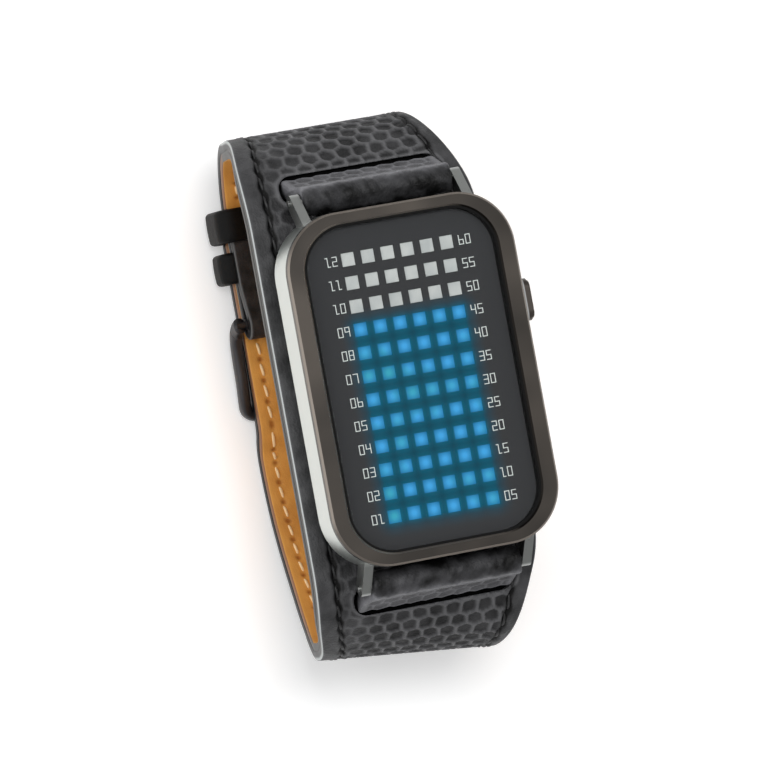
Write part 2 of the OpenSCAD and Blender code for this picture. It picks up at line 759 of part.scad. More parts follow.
module cuff_outer() {
    tunnel_z = strap_z + strap_t / 2;
    color("#2b2b2d") place() difference() {
        intersection() {
            across(case_w + 10) {
                cuff_layer(0, outer_t, buckle_y);
                // The end turns round the buckle's bar and back to the end of the lining
                translate([buckle_y, pin_z]) circle(fold_r);
                polygon([[buckle_y, strap_z], [lining_end, strap_z], [lining_end, strap_z + strap_t],
                    [buckle_y + fold_slope, strap_z + strap_t],
                    [buckle_y + fold_r * sin(20), pin_z + fold_r * cos(20)], [buckle_y, pin_z]]);
            }
            cuff_plan();
        }
        slots();
        tail_cuts();
        translate([0, buckle_y, pin_z]) rotate([0, 90, 0]) cylinder(h = case_w, d = pin_d + 2 * run_fit,
            center = true);
        // Slot for the prong
        translate([-prong_w / 2 - fit, buckle_y - fold_r - over, strap_z - fit / 2])
            cube([prong_w + 2 * fit, fold_r + over + hub_r + fit, 2 * fold_r + fit]);
        // Tunnel that holds the fixed keeper's upper run
        translate([-case_w / 2, fixed_y - fixed_w / 2, tunnel_z - 0.5]) cube([case_w, fixed_w, 1]);
    }
}

module cuff_lining() {
    color("#b9783a") place() difference() {
        intersection() {
            across(case_w + 10) cuff_layer(outer_t, strap_t, lining_end);
            cuff_plan();
        }
        // Shallow seats for the ends of the two wraps
        for (s = [0, 1]) mirror([0, s, 0]) across(tuck_w + 0.1) bend(shoulder_y, shoulder_z,
            shoulder_r - outer_t - tuck_t, shoulder_r - outer_t + 0.01, tuck_to, tuck_from);
        tail_cuts();
    }
}

// Closed loop of leather round the strap, from z0 up, with walls of thickness t
module keeper(w, z0, t, top_t, inner_h) {
    rotate([90, 0, 0]) linear_extrude(w, center = true) difference() {
        translate([0, z0 + (t + top_t + inner_h) / 2])
            round_rect(2 * (frame_gap + t), t + top_t + inner_h, min(top_t, t) * 0.9);
        translate([-frame_gap, z0 + t]) square([2 * frame_gap, inner_h]);
    }
}

module fixed_keeper() {
    color("#232325") place() translate([0, fixed_y, 0]) keeper(fixed_w, 0, keeper_t, 1,
        strap_z + strap_t / 2 - 0.5 - keeper_t);
}

module free_keeper() {
    z0 = tail_z - fit - free_t;
    color("#232325") place() translate([0, fixed_y + (fixed_w + free_w) / 2 + keeper_gap, 0])
        keeper(free_w, z0, free_t, free_t, strap_z + strap_t + fit - z0 - free_t);
}

module buckle_frame() {
    w = 2 * (frame_gap + frame_t);
    low_end = buckle_y - 1.6;
    color("#4a4a4c") place() difference() {
        intersection() {
            union() {
                for (x = [-1, 1]) translate([x * (frame_gap + frame_t / 2), 0, 0]) across(frame_t) {
                    run(frame_end, low_end, frame_low, frame_low + frame_h);
                    polygon([[low_end - 3, frame_low], [low_end, frame_low], [buckle_y + 1.7, pin_z - 1],
                        [buckle_y + 1.7, pin_z], [buckle_y - 1.7, pin_z], [buckle_y - 1.9, pin_z - 2],
                        [low_end - 2.4, frame_low + frame_h]]);
                    translate([buckle_y, pin_z]) circle(1.7);
                }
                translate([-w / 2, frame_end, frame_low]) cube([w, cross_l, cross_top - frame_low]);
            }
            translate([0, buckle_y, -over]) linear_extrude(pin_z + 3 * over)
                round_rect(w, 2 * frame_l, 1.4);
        }
        translate([0, buckle_y, pin_z]) rotate([0, 90, 0]) cylinder(h = w + 1, d = pin_tip_d + 0.04,
            center = true);
        // Notch that the prong's tip lies in
        translate([-prong_w / 2 - fit, frame_end - over, -over])
            cube([prong_w + 2 * fit, cross_l + 2 * over, 1 + over]);
    }
}

module buckle_bar() {
    color("#8b8b8d") place() translate([0, buckle_y, pin_z]) rotate([0, 90, 0]) {
        cylinder(h = 2 * frame_gap - 0.2, d = pin_d, center = true);
        cylinder(h = 2 * (frame_gap + frame_t), d = pin_tip_d, center = true);
    }
}

module prong() {
    low = cross_top - prong_t;
    tip_low = 0.2;
    tip_top = 0.85;
    color("#5a5a5c") place() across(prong_w) difference() {
        union() {
            translate([buckle_y, pin_z]) circle(hub_r);
            polygon([[buckle_y - 1.5, pin_z], [buckle_y - 3.2, tail_z + strap_t],
                [buckle_y - 3.4, tail_z + 0.1], [buckle_y - 3.7, cross_top],
                [frame_end + cross_l + 1.8, cross_top], [frame_end + cross_l + 0.5, tip_top],
                [frame_end + 0.3, tip_top], [frame_end + 0.1, tip_top - 0.2], [frame_end + 0.2, tip_low],
                [frame_end + cross_l + 0.4, tip_low], [frame_end + cross_l + 1.2, low],
                [buckle_y - 3, low], [buckle_y - 2.3, cross_top], [buckle_y - 2, tail_z + 0.3],
                [buckle_y - 1.7, pin_z - 3.05], [buckle_y + 0.4, pin_z - 1.5]]);
        }
        translate([buckle_y, pin_z]) circle(pin_d / 2 + run_fit);
    }
}

mid_case();
bezel();
crystal();
crystal_gasket();
dial_plate();
lit_leds();
unlit_leds();
circuit_board();
driver_chips();
quartz_can();
side_switch();
movement_frame();
coin_cells();
cell_contact();
insulator_sheet();
case_back();
back_gasket();
back_screws();
button();
button_collar();
button_spring();
button_seal();
button_clip();
spring_bars();
spring_bar_tips();
lug_strap_12();
lug_strap_6();
cuff_outer();
cuff_lining();
fixed_keeper();
free_keeper();
buckle_frame();
buckle_bar();
prong();
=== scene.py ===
import math

import bpy
import numpy as np
from mathutils import Matrix, Vector


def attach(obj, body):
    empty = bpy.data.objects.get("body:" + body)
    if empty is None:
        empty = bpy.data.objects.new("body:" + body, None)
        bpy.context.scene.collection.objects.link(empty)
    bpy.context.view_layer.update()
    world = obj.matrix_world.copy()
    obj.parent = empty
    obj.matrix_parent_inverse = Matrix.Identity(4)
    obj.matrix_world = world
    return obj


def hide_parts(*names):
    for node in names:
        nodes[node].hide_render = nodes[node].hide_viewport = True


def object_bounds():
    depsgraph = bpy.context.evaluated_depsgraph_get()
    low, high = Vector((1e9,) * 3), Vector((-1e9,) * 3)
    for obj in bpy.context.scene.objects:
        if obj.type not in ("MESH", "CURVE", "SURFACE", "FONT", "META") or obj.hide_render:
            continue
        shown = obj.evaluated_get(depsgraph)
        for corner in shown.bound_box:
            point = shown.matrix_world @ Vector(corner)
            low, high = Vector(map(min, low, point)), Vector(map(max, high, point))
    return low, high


MM = 0.001
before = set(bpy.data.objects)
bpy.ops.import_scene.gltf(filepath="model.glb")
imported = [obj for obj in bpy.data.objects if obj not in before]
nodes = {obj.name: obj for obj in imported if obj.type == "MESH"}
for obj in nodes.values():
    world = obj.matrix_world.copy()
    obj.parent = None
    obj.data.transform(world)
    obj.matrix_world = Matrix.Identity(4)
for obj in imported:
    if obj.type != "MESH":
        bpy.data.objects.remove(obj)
cad_low, cad_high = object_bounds()

# ---------------------------------------------------------------------------------------
# The camera stands as in the photograph: about 17 degrees to the 9 o'clock side of the
# dial's normal, with 12 o'clock up in the picture.
# ---------------------------------------------------------------------------------------
TILT = math.radians(17)
ROLL = math.radians(10.3)
DISTANCE = 1000 * MM
LENS = 321.7
# The middle of the picture, from the middle of the crystal's face
AIM_DEPTH = 1.65 * MM
AIM_LEFT = 4.385 * MM
AIM_DOWN = 1.574 * MM
toward = Vector((-math.sin(TILT), 0, math.cos(TILT)))
across = Vector((math.cos(TILT), 0, math.sin(TILT)))
along = Vector((0, 1, 0))
right = math.cos(ROLL) * across - math.sin(ROLL) * along
up = math.sin(ROLL) * across + math.cos(ROLL) * along
aim = Vector((0, 0, -AIM_DEPTH)) - AIM_LEFT * right - AIM_DOWN * up

camera = bpy.data.objects.new("camera", bpy.data.cameras.new("camera"))
camera.data.sensor_width = 36
camera.data.lens = LENS
camera.data.clip_start = 0.01
camera.data.clip_end = 20
turn = Matrix((right, up, toward)).transposed().to_4x4()
camera.matrix_world = Matrix.Translation(aim + DISTANCE * toward) @ turn
bpy.context.scene.collection.objects.link(camera)
bpy.context.scene.camera = camera

# ---------------------------------------------------------------------------------------
# The case: one block of stainless steel with its four flat lugs, milled and then finished
# to a fine satin by brushing, with its sides left bright. The lugs carry painted shade on
# their sides and a painted reflection on their tops, lighter towards 12 o'clock. A steel
# plate on four screws closes its back.
# ---------------------------------------------------------------------------------------
LUG_START = 23.2


class Signal:
    """A shader socket that Python's arithmetic works on: each operation adds its Math node."""

    def __init__(self, shading, socket):
        self.shading = shading
        self.socket = socket

    def math(self, operation, *values):
        return self.shading.node("ShaderNodeMath", {"operation": operation}, *values)

    def __add__(self, other):
        return self.math("ADD", self, other)

    __radd__ = __add__

    def __mul__(self, other):
        return self.math("MULTIPLY", self, other)

    __rmul__ = __mul__

    def __sub__(self, other):
        return self.math("SUBTRACT", self, other)

    def __rsub__(self, other):
        return self.math("SUBTRACT", other, self)

    def __truediv__(self, other):
        return self.math("DIVIDE", self, other)

    def __rtruediv__(self, other):
        return self.math("DIVIDE", other, self)

    def __pow__(self, other):
        return self.math("POWER", self, other)

    def __rpow__(self, other):
        return self.math("POWER", other, self)

    def __mod__(self, other):
        return self.math("FLOORED_MODULO", self, other)

    def __rmod__(self, other):
        return self.math("FLOORED_MODULO", other, self)

    def __neg__(self):
        return self * -1

    def __abs__(self):
        return self.math("ABSOLUTE", self)

    def at_least(self, low):
        return self.math("MAXIMUM", self, low)

    def clamp(self):
        return self.shading.node("ShaderNodeClamp", {}, self)


class Shading:
    """The nodes of a material or of the sky, with the shader that they feed."""

    def __init__(self, tree, shader):
        self.tree = tree
        self.shader = tree.nodes[shader]

    def plug(self, socket, value):
        """Links a signal to a socket, or writes a constant on it."""
        if isinstance(value, Signal):
            self.tree.links.new(value.socket, socket)
        else:
            socket.default_value = value

    def set(self, **values):
        """Feeds the shader's own sockets."""
        for name, value in values.items():
            self.plug(self.shader.inputs[name.replace("_", " ")], value)

    def node(self, kind, settings, *values, out=0, **named):
        """A node of any kind: its settings first, then the values or links of its sockets."""
        made = self.tree.nodes.new(kind)
        for key, value in settings.items():
            setattr(made, key, value)
        for k, value in enumerate(values):
            self.plug(made.inputs[k], value)
        for key, value in named.items():
            self.plug(made.inputs[key.replace("_", " ")], value)
        return Signal(self, made.outputs[out])


def tone(code):
    """Linear colour of a hex code such as 4a4642."""
    parts = [int(code[i:i + 2], 16) / 255 for i in (0, 2, 4)]
    return [p / 12.92 if p < 0.04045 else ((p + 0.055) / 1.055) ** 2.4 for p in parts] + [1]


class Finish(Shading):
    """A material: constants on the shader's own sockets, and nodes for what varies."""

    def __init__(self, name, colour, roughness, **constants):
        self.material = bpy.data.materials.new(name)
        self.material.use_nodes = True
        super().__init__(self.material.node_tree, "Principled BSDF")
        self.set(Base_Color=tone(colour), Roughness=roughness, **constants)

    def place(self):
        """Position on the piece, in millimetres."""
        spot = self.node("ShaderNodeTexCoord", {}, out="Object")
        return self.node("ShaderNodeVectorMath", {"operation": "SCALE"}, spot, Scale=1 / MM)

    def axis(self, k):
        """One coordinate on the piece, in millimetres."""
        return self.node("ShaderNodeSeparateXYZ", {}, self.place(), out=k)

    def facing(self, k):
        """How far the surface faces along one axis, from -1 to 1."""
        normal = self.node("ShaderNodeTexCoord", {}, out="Normal")
        return self.node("ShaderNodeSeparateXYZ", {}, normal, out=k)

    def noise(self, scale, detail, stretch=(1, 1, 1)):
        spot = self.node("ShaderNodeVectorMath", {"operation": "MULTIPLY"}, self.place(), stretch)
        return self.node("ShaderNodeTexNoise", {}, spot, out="Fac", Scale=scale, Detail=detail)

    def emboss(self):
        """The painted shade that embossed leather stores at its points: 1 in the hollows."""
        return self.node("ShaderNodeAttribute", {"attribute_name": "emboss"}, out="Fac")

    def between(self, first, second, factor):
        """A colour between two, each a tone's code or a signal."""
        mixed = self.node("ShaderNodeMix", {"data_type": "RGBA"}, factor, out=2)
        # Sockets 6 and 7 are the node's two colours
        for k, colour in ((6, first), (7, second)):
            colour = colour if isinstance(colour, Signal) else tone(colour)
            self.plug(mixed.socket.node.inputs[k], colour)
        return mixed

    def shade(self, first, second, factor):
        self.set(Base_Color=self.between(first, second, factor))

    def relief(self, height, strength, distance):
        """Bumps of a height in millimetres."""
        self.set(Normal=self.node("ShaderNodeBump", {}, Height=height, Strength=strength,
                                  Distance=distance * MM))

    def cover(self, *names):
        """Gives the finish to whole CAD pieces."""
        for name in names:
            mesh = nodes[name].data
            mesh.materials.clear()
            mesh.materials.append(self.material)


steel = Finish("satin steel", "dde0dc", 0.3, Metallic=1.0)
# Painted light on the lugs: painted shade on their sides, and on their tops a painted reflection
# that is lighter towards 12 o'clock
lugs = ((abs(steel.axis(1)) - LUG_START) * 0.5).clamp()
upward = (steel.facing(2) * 2.5 - 1.4).clamp()
lug_top_painted_reflection = steel.between("696b69", "a0a2a0", (steel.axis(1) * 0.05 + 0.5).clamp())
steel.shade("c8cdc9", steel.between("8f918f", lug_top_painted_reflection, upward), lugs)
steel.set(Roughness=steel.noise(3, 2, (1, 0.05, 1)) * 0.12 + 0.24)
steel.cover("mid_case")
Finish("back steel", "b9bab8", 0.35, Metallic=1.0).cover("case_back", "back_screws")

# ---------------------------------------------------------------------------------------
# Inside the case: a moulded frame with two coin cells and their sprung contact, a film
# under them, and the circuit board with its driver chips, crystal can and side switch.
# The seals are rings of black rubber, pressed between the steel parts.
# ---------------------------------------------------------------------------------------
for parts, name, colour, roughness, metallic in (
    (["movement_frame"], "moulded frame", "2a2b2d", 0.5, 0.0),
    (["coin_cells", "quartz_can"], "plated tin", "bfc0c0", 0.3, 1.0),
    (["cell_contact", "button_spring", "button_clip"], "spring metal", "c9b37a", 0.3, 1.0),
    (["insulator_sheet"], "insulating film", "c78f3a", 0.4, 0.0),
    (["circuit_board"], "board lacquer", "1f5a35", 0.4, 0.0),
    (["driver_chips", "side_switch"], "chip resin", "1c1c1d", 0.5, 0.0),
    (["back_gasket", "crystal_gasket", "button_seal"], "seal rubber", "030303", 0.9, 0.0),
):
    Finish(name, colour, roughness, Metallic=metallic, Specular_IOR_Level=0.3).cover(*parts)

# ---------------------------------------------------------------------------------------
# The dial: a thin black plate with 72 square windows in 12 rows, glued over the lights.
# The lit windows of the nine lower rows throw a teal haze onto the plate round them.
# ---------------------------------------------------------------------------------------
PITCH_X = 3.0
PITCH_Y = 3.4
COLUMNS = 6
ROWS = 12
LIT_ROWS = 9


def haze(finish, reach, core):
    """1 over the block of lit rows, falling to 0 at a distance from it."""
    half_w = (COLUMNS - 1) * PITCH_X / 2 + core
    half_h = (LIT_ROWS - 1) * PITCH_Y / 2 + core
    middle = (LIT_ROWS - ROWS) * PITCH_Y / 2
    dx = (abs(finish.axis(0)) - half_w).at_least(0)
    dy = (abs(finish.axis(1) - middle) - half_h).at_least(0)
    return (1 - (dx * dx + dy * dy) ** 0.5 / reach).clamp() ** 2


def window_middle(finish, reach):
    """1 in the middle of each window, falling to 0 at a distance from it."""
    dx, dy = ((finish.axis(k) / pitch % 1 - 0.5) * pitch
              for k, pitch in enumerate((PITCH_X, PITCH_Y)))
    return (1 - (dx * dx + dy * dy) ** 0.5 / reach).clamp()


dial = Finish("black dial plate", "2b2c2e", 0.6, Specular_IOR_Level=0.1)
# Painted glow: the teal haze is emission on the plate, brightest round each window, over a plate
# colour that is darker under it
spread = haze(dial, reach=2.6, core=0.7)
dial.shade("454648", "020405", spread)
glow = spread * (window_middle(dial, reach=2.3) * 0.65 + 0.33)
dial.set(Emission_Color=dial.between("000000", "0d7896", glow), Emission_Strength=1.0)
dial.cover("dial_plate")

# ---------------------------------------------------------------------------------------
# The lights: square diffusers of milky resin behind the windows, each lit from its
# middle by a blue chip on the board. The three upper rows are off and pale.
# ---------------------------------------------------------------------------------------
lit = Finish("lit blue window", "06202e", 0.5, Specular_IOR_Level=0.2)
core = lit.between("46b4f6", "3cb4cc", (lit.noise(0.14, 2) * 5 - 2.3).clamp())
edge = (window_middle(lit, reach=1.36) * 1.25).clamp() ** 1.2
lit.set(Emission_Color=lit.between("0c74aa", core, edge), Emission_Strength=1.0)
lit.cover("lit_leds")
# The off windows are given a faint painted glow
unlit = Finish("unlit window", "d2d7d5", 0.5, Emission_Color=tone("9aa19e"),
               Emission_Strength=0.35)
unlit.shade("d6dad8", "c0c6c6", (unlit.noise(0.3, 2) * 4 - 1.5).clamp())
unlit.cover("unlit_leds")

# ---------------------------------------------------------------------------------------
# The numerals: hours up the left side and minutes up the right, one pair for each row of
# lights, printed on the dial in thin strokes of white ink.
# ---------------------------------------------------------------------------------------
DIAL_FACE = -1.5
INK_UNDER = 0.02
INK_OVER = 0.03
HOURS_X = -10.1
MINUTES_X = 10.2
DIGIT_W = 0.64
DIGIT_H = 1.3
DIGIT_GAP = 0.4
STROKE = 0.115
# Corners of a digit: 0 1 on top, 2 3 in the middle, 4 5 at the bottom, 6 7 on a 1's stem
SPOTS = [(0, 1), (1, 1), (0, 0.5), (1, 0.5), (0, 0), (1, 0), (0.45, 1), (0.45, 0)]
STROKES = {
    "0": [(0, 1), (1, 5), (5, 4), (4, 0)],
    "1": [(0, 6), (6, 7), (7, 5)],
    "2": [(0, 1), (1, 3), (3, 2), (2, 4), (4, 5)],
    "3": [(0, 1), (1, 5), (2, 3), (4, 5)],
    "4": [(0, 2), (2, 3), (1, 5)],
    "5": [(1, 0), (0, 2), (2, 3), (3, 5), (5, 4)],
    "6": [(0, 4), (4, 5), (5, 3), (3, 2)],
    "7": [(0, 1), (1, 5)],
    "8": [(0, 1), (1, 5), (5, 4), (4, 0), (2, 3)],
    "9": [(3, 2), (2, 0), (0, 1), (1, 5)],
}


def form(name, points, faces):
    """A mesh through points in millimetres."""
    mesh = bpy.data.meshes.new(name)
    mesh.from_pydata((np.array(points) * MM).tolist(), [], faces)
    return mesh


def add(name, mesh, *finishes, body="watch", slot=None, smooth=True):
    """A new piece of the watch with its finishes, riding on a body."""
    piece = bpy.data.objects.new(name, mesh)
    bpy.context.scene.collection.objects.link(piece)
    for finish in finishes:
        mesh.materials.append(finish.material)
    if smooth:
        mesh.shade_smooth()
    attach(piece, body)
    return piece


def print_stroke(x0, y0, x1, y1, points, faces):
    """One printed stroke as a thin flat bar."""
    h = STROKE / 2
    x0, x1 = min(x0, x1) - h, max(x0, x1) + h
    y0, y1 = min(y0, y1) - h, max(y0, y1) + h
    base = len(points)
    for z in (DIAL_FACE - INK_UNDER, DIAL_FACE + INK_OVER):
        points += [(x0, y0, z), (x1, y0, z), (x1, y1, z), (x0, y1, z)]
    faces += [[base + k for k in face] for face in (
        [3, 2, 1, 0], [4, 5, 6, 7], [0, 1, 5, 4], [1, 2, 6, 5], [2, 3, 7, 6], [3, 0, 4, 7])]


def print_numeral(text, x, y, points, faces):
    """Two digits with their middle at x, y."""
    left = x - (2 * DIGIT_W + DIGIT_GAP) / 2
    for k, digit in enumerate(text):
        at = left + k * (DIGIT_W + DIGIT_GAP)
        for a, b in STROKES[digit]:
            (ax, ay), (bx, by) = SPOTS[a], SPOTS[b]
            print_stroke(at + ax * DIGIT_W, y + (ay - 0.5) * DIGIT_H,
                         at + bx * DIGIT_W, y + (by - 0.5) * DIGIT_H, points, faces)


points, faces = [], []
for row in range(ROWS):
    y = (row - (ROWS - 1) / 2) * PITCH_Y
    print_numeral(f"{row + 1:02d}", HOURS_X, y, points, faces)
    print_numeral(f"{5 * (row + 1):02d}", MINUTES_X, y, points, faces)
# The white ink is given a faint painted glow
white_ink_and_glow = Finish("white print", "dfe4e2", 0.5, Emission_Color=tone("c9d1ce"),
                   Emission_Strength=0.45)
add("numerals", form("numerals", points, faces), white_ink_and_glow, slot="dial", smooth=False)

# ---------------------------------------------------------------------------------------
# The crystal: a flat plate of tinted mineral glass with a polished chamfer, seated on a
# thin black gasket in the bezel.
# ---------------------------------------------------------------------------------------
CRYSTAL_W = 28.6
CRYSTAL_L = 46.9
CRYSTAL_R = 6.35
CRYSTAL_T = 1.44
CRYSTAL_CHAMFER = 0.15


def skin(rows, m, rows_close=False, columns_close=True):
    """Faces over a grid of rows of m points, which can close on itself both ways."""
    i, j = np.meshgrid(np.arange(rows if rows_close else rows - 1),
                       np.arange(m if columns_close else m - 1), indexing="ij")
    i2, j2 = (i + 1) % rows, (j + 1) % m
    return np.stack([i * m + j, i * m + j2, i2 * m + j2, i2 * m + j], 2).reshape(-1, 4).tolist()


def caps(rows, m):
    """The two end faces over the first and the last row."""
    return [list(range(m))[::-1], list(range((rows - 1) * m, rows * m))]


def stack(name, outlines):
    """A closed solid through outlines of the same count, each at its own height."""
    rows, m = len(outlines), len(outlines[0][0])
    points = [(x, y, z) for outline, z in outlines for x, y in outline]
    return form(name, points, caps(rows, m) + skin(rows, m))


def rounded(size_x, size_y, r, centre=(0, 0), count=9):
    """Outline of a rounded rectangle, counter-clockwise, with count points on each corner."""
    corners = []
    for k, (sx, sy) in enumerate(((1, 1), (-1, 1), (-1, -1), (1, -1))):
        a = np.radians(np.linspace(90 * k, 90 * k + 90, count))
        corners.append(np.stack([sx * (size_x / 2 - r) + r * np.cos(a),
                                 sy * (size_y / 2 - r) + r * np.sin(a)], 1))
    return np.concatenate(corners) + np.array(centre)


rim = rounded(CRYSTAL_W, CRYSTAL_L, CRYSTAL_R, count=25)
face = rounded(CRYSTAL_W - 2 * CRYSTAL_CHAMFER, CRYSTAL_L - 2 * CRYSTAL_CHAMFER,
               CRYSTAL_R - CRYSTAL_CHAMFER, count=25)
glass = Finish("tinted glass", "0c0f10", 0.03, Alpha=0.12)
plate = stack("crystal_glass", [(rim, -CRYSTAL_T), (rim, -CRYSTAL_CHAMFER), (face, 0)])
crystal = add("crystal_glass", plate, glass, slot="crystal", smooth=False)
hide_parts("crystal")

# ---------------------------------------------------------------------------------------
# The bezel: a flat steel frame with fine chamfers, pressed onto the case, coated dark
# bronze grey and satin. Its chamfers carry a painted highlight, and the inside of its
# opening a painted shade.
# ---------------------------------------------------------------------------------------
# Half the bezel's opening in X and Y, to just outside its edge
OPENING = (14.8, 23.95)

bezel_coat = Finish("bezel coating", "5a544e", 0.36, Metallic=1.0)
upward = bezel_coat.facing(2)
chamfer_painted_highlight = (upward * 8 - 3.5).clamp() - (upward * 12 - 10).clamp()
clouds = (bezel_coat.noise(0.06, 2) * 4 - 1.5).clamp()
coat = bezel_coat.between(bezel_coat.between("3f3c39", "544f4a", clouds), "7d766f", chamfer_painted_highlight)
# The chamfer of the opening carries a brighter painted highlight on the 9 o'clock side,
# and the 3 o'clock side of the opening a dark painted shade
beside, sideways = bezel_coat.axis(0) * 0.5, bezel_coat.facing(0) * 4
coat = bezel_coat.between(coat, "b9ada0", sideways.clamp() * (-beside).clamp() * chamfer_painted_highlight)
coat = bezel_coat.between(coat, "1d1b19", (-sideways).clamp() * beside.clamp())
# Painted shade: the walls inside the opening, which face sideways, are near black
within = [((half - abs(bezel_coat.axis(k))) * 20).clamp() for k, half in enumerate(OPENING)]
bezel_coat.shade(coat, "050505", within[0] * within[1] * (1.8 - upward * 4).clamp())
bezel_coat.cover("bezel")

# ---------------------------------------------------------------------------------------
# The button and the spring bars: a dark coated cap in a bright collar that is pressed in
# at about 2 to 3 o'clock, and two steel tubes whose sprung tips snap into the lugs.
# ---------------------------------------------------------------------------------------
Finish("button coating", "55504c", 0.35, Metallic=1.0).cover("button")
Finish("polished steel", "dedfdf", 0.15, Metallic=1.0).cover("button_collar")
Finish("spring bar steel", "8f908f", 0.3, Metallic=1.0).cover("spring_bars", "spring_bar_tips")

# ---------------------------------------------------------------------------------------
# The outer leather: one long strip of black cowhide, embossed with a net of small ovals,
# glued and stitched to the lining and bent to the wrist. Its end turns round the buckle's
# bar, and its cut edges are dyed and waxed.
# ---------------------------------------------------------------------------------------
# Heights in this section and the next ones are over the table, this far under the crystal
TABLE = 49.9
OUTER_T = 1.5
LINING_T = 1.3
STRAP_T = OUTER_T + LINING_T
# Arcs of the outer face: the middle's Y and height, and the radius
SHOULDER = (24.4, 23.2, 15.0)
HEEL = (28.9, 15.5, 10.5)
LOW_HEEL = (-26.9, 20.2, 12.5)
SOLE = (-8.18, 39.10, 39.10)
PIN = (12.6, 7.35, 2.35)
SOLE_TURN = 225.1
WEAVE_TURN = 34.18
RISE_R = 7
CREST_R = 4
CREST_Y = -2
STRAP_Z = 5.0
TAIL_Z = 1.9
TAIL_END = 32.0
# The turned-over end: where it stops, where it bends towards the bar, and its height
FOLD_END = 27.3
FOLD_BEND = 19.8
FOLD_Z = 7.75
# Half-widths: to each side under the case, by height over the table behind it, and at the buckle
CASE_HALF = 25.6
HALF_L = 39.4
FRONT_3 = 16.5
FRONT_9 = 18
HEEL_3 = ((0, 12.6), (6.25, 12.6), (15.8, 13), (22.1, 11.4))
HEEL_9 = ((0, 12.5), (6.25, 12.5), (10.1, 13), (15.8, 13.9), (22.7, 15.3))
STRAP_HALF = 12.4
STITCH_PITCH = 3.2
# The embossed net: size of an oval's cell and how far its middle strays
CELL_W = 2.6
CELL_H = 2.25
STRAY_X = 0.33
STRAY_S = 0.28
NET_DEPTH = 0.36
GROOVE_DEPTH = 0.55
PUCKER = 0.08
# The slots for the wraps, with their raised rim and the heights that they are cut between
SLOT_L = 25.0
SLOT_W = 4.5
SLOT_R = 2.2
SLOT_Y = 30.05
SLOT_RIM = 0.2
SLOT_CUT = (24, 45)
# The holes in the tail: width, length and corner radius, the middle one's Y, and the cut
HOLE = (2.2, 4.2, 1.08)
HOLE_Y = 10.7
HOLE_PITCH = 6.5
HOLE_CUT = (1, 4.85)
# Two corners of the slot in the fold that the prong comes through
PRONG_SLOT = ((-1.1, 9.2, 4.85), (1.1, 14.4, 10.5))
# Steps of the mesh: along the strip, and the columns across its middle
STATION = 0.3
STRIP_COLUMNS = 86


def ease(t):
    """0 to 1 with soft ends."""
    t = np.clip(t, 0, 1)
    return t * t * (3 - 2 * t)


def rounding(inside, r):
    """How far an edge rounded by r falls away at a distance inside it."""
    return r * (1 - np.sqrt(np.clip(1 - (1 - np.clip(inside / r, 0, 1))**2, 0, 1)))


def arc(cy, cz, r, a0, a1):
    """Points of an arc in Y and Z."""
    a = np.radians(np.linspace(a0, a1, max(int(abs(a1 - a0) * r / 3), 8)))
    return np.stack([cy + r * np.cos(a), cz + r * np.sin(a)], 1)


def bridge(p, p_dir, q, q_dir, pull, count):
    """A smooth curve from p to q that leaves and arrives in the given directions."""
    t = np.linspace(0, 1, count)[:, None]
    p, q = np.array(p), np.array(q)
    a, b = np.array(p_dir) * pull, np.array(q_dir) * pull
    return ((2 * t**3 - 3 * t**2 + 1) * p + (t**3 - 2 * t**2 + t) * a
            + (3 * t**2 - 2 * t**3) * q + (t**3 - t**2) * b)


def trail(parts, step):
    """Even stations along joined pieces of line: Y, Z, outward normal and length so far."""
    line = np.concatenate(parts)
    gap = np.hypot(*np.diff(line, axis=0).T)
    line = line[np.concatenate([[True], gap > 1e-6])]
    run = np.concatenate([[0], np.cumsum(np.hypot(*np.diff(line, axis=0).T))])
    s = np.linspace(0, run[-1], int(run[-1] / step) + 1)
    y, z = np.interp(s, run, line[:, 0]), np.interp(s, run, line[:, 1])
    ty, tz = np.gradient(y), np.gradient(z)
    size = np.hypot(ty, tz)
    return np.stack([y, z, tz / size, -ty / size, s], 1)


def cuff_line(start):
    """The outer face of the closed cuff, from the 12 o'clock end of the strap to its tail."""
    rise = arc(SOLE[0], RISE_R, RISE_R, 270, 270 + WEAVE_TURN)
    crest = arc(CREST_Y, TAIL_Z - CREST_R, CREST_R, 90 + WEAVE_TURN, 90)
    return trail(start + [
        np.array([[HEEL[0] - 0.1, STRAP_Z]]),
        arc(*HEEL, -90, 0), arc(*SHOULDER, 0, 90),
        arc(-SHOULDER[0], *SHOULDER[1:], 90, 180),
        arc(*LOW_HEEL, 180, SOLE_TURN), arc(*SOLE, SOLE_TURN, 270),
        rise[1:], crest, np.array([[TAIL_END, TAIL_Z]])], STATION)


def blend(w):
    """Evens a width out over neighbouring stations."""
    count = 25
    return np.convolve(np.pad(w, count // 2, "edge"), np.ones(count) / count, "valid")


def half_widths(line):
    """Half-widths to 3 o'clock and to 9 o'clock at each station."""
    y, z = np.abs(line[:, 0]), line[:, 1]
    out = np.clip((y - CASE_HALF + 0.6) / (HALF_L - CASE_HALF + 0.6), 0, 1)
    back = np.interp(y, [27.0, 36.0], [STRAP_HALF, 16])
    heel_3, heel_9 = (np.interp(z, *zip(*heel)) for heel in (HEEL_3, HEEL_9))
    w3 = blend(np.where(z > 22, FRONT_3 - 5 * out**1.3, np.minimum(heel_3, back)))
    w9 = blend(np.where(z > 22.7, FRONT_9 - 2.6 * out**4, np.minimum(heel_9, back)))
    # The end of the tail is rounded
    tip = line[:, 4] > line[-1, 4] - 15
    radius = STRAP_HALF * 1.15
    reach = np.sqrt(np.clip(radius**2 - (line[:, 0] - TAIL_END + radius)**2, 0.04, None))
    for w in (w3, w9):
        w[tip] = np.minimum(w[tip], reach[tip])
    return w3, w9


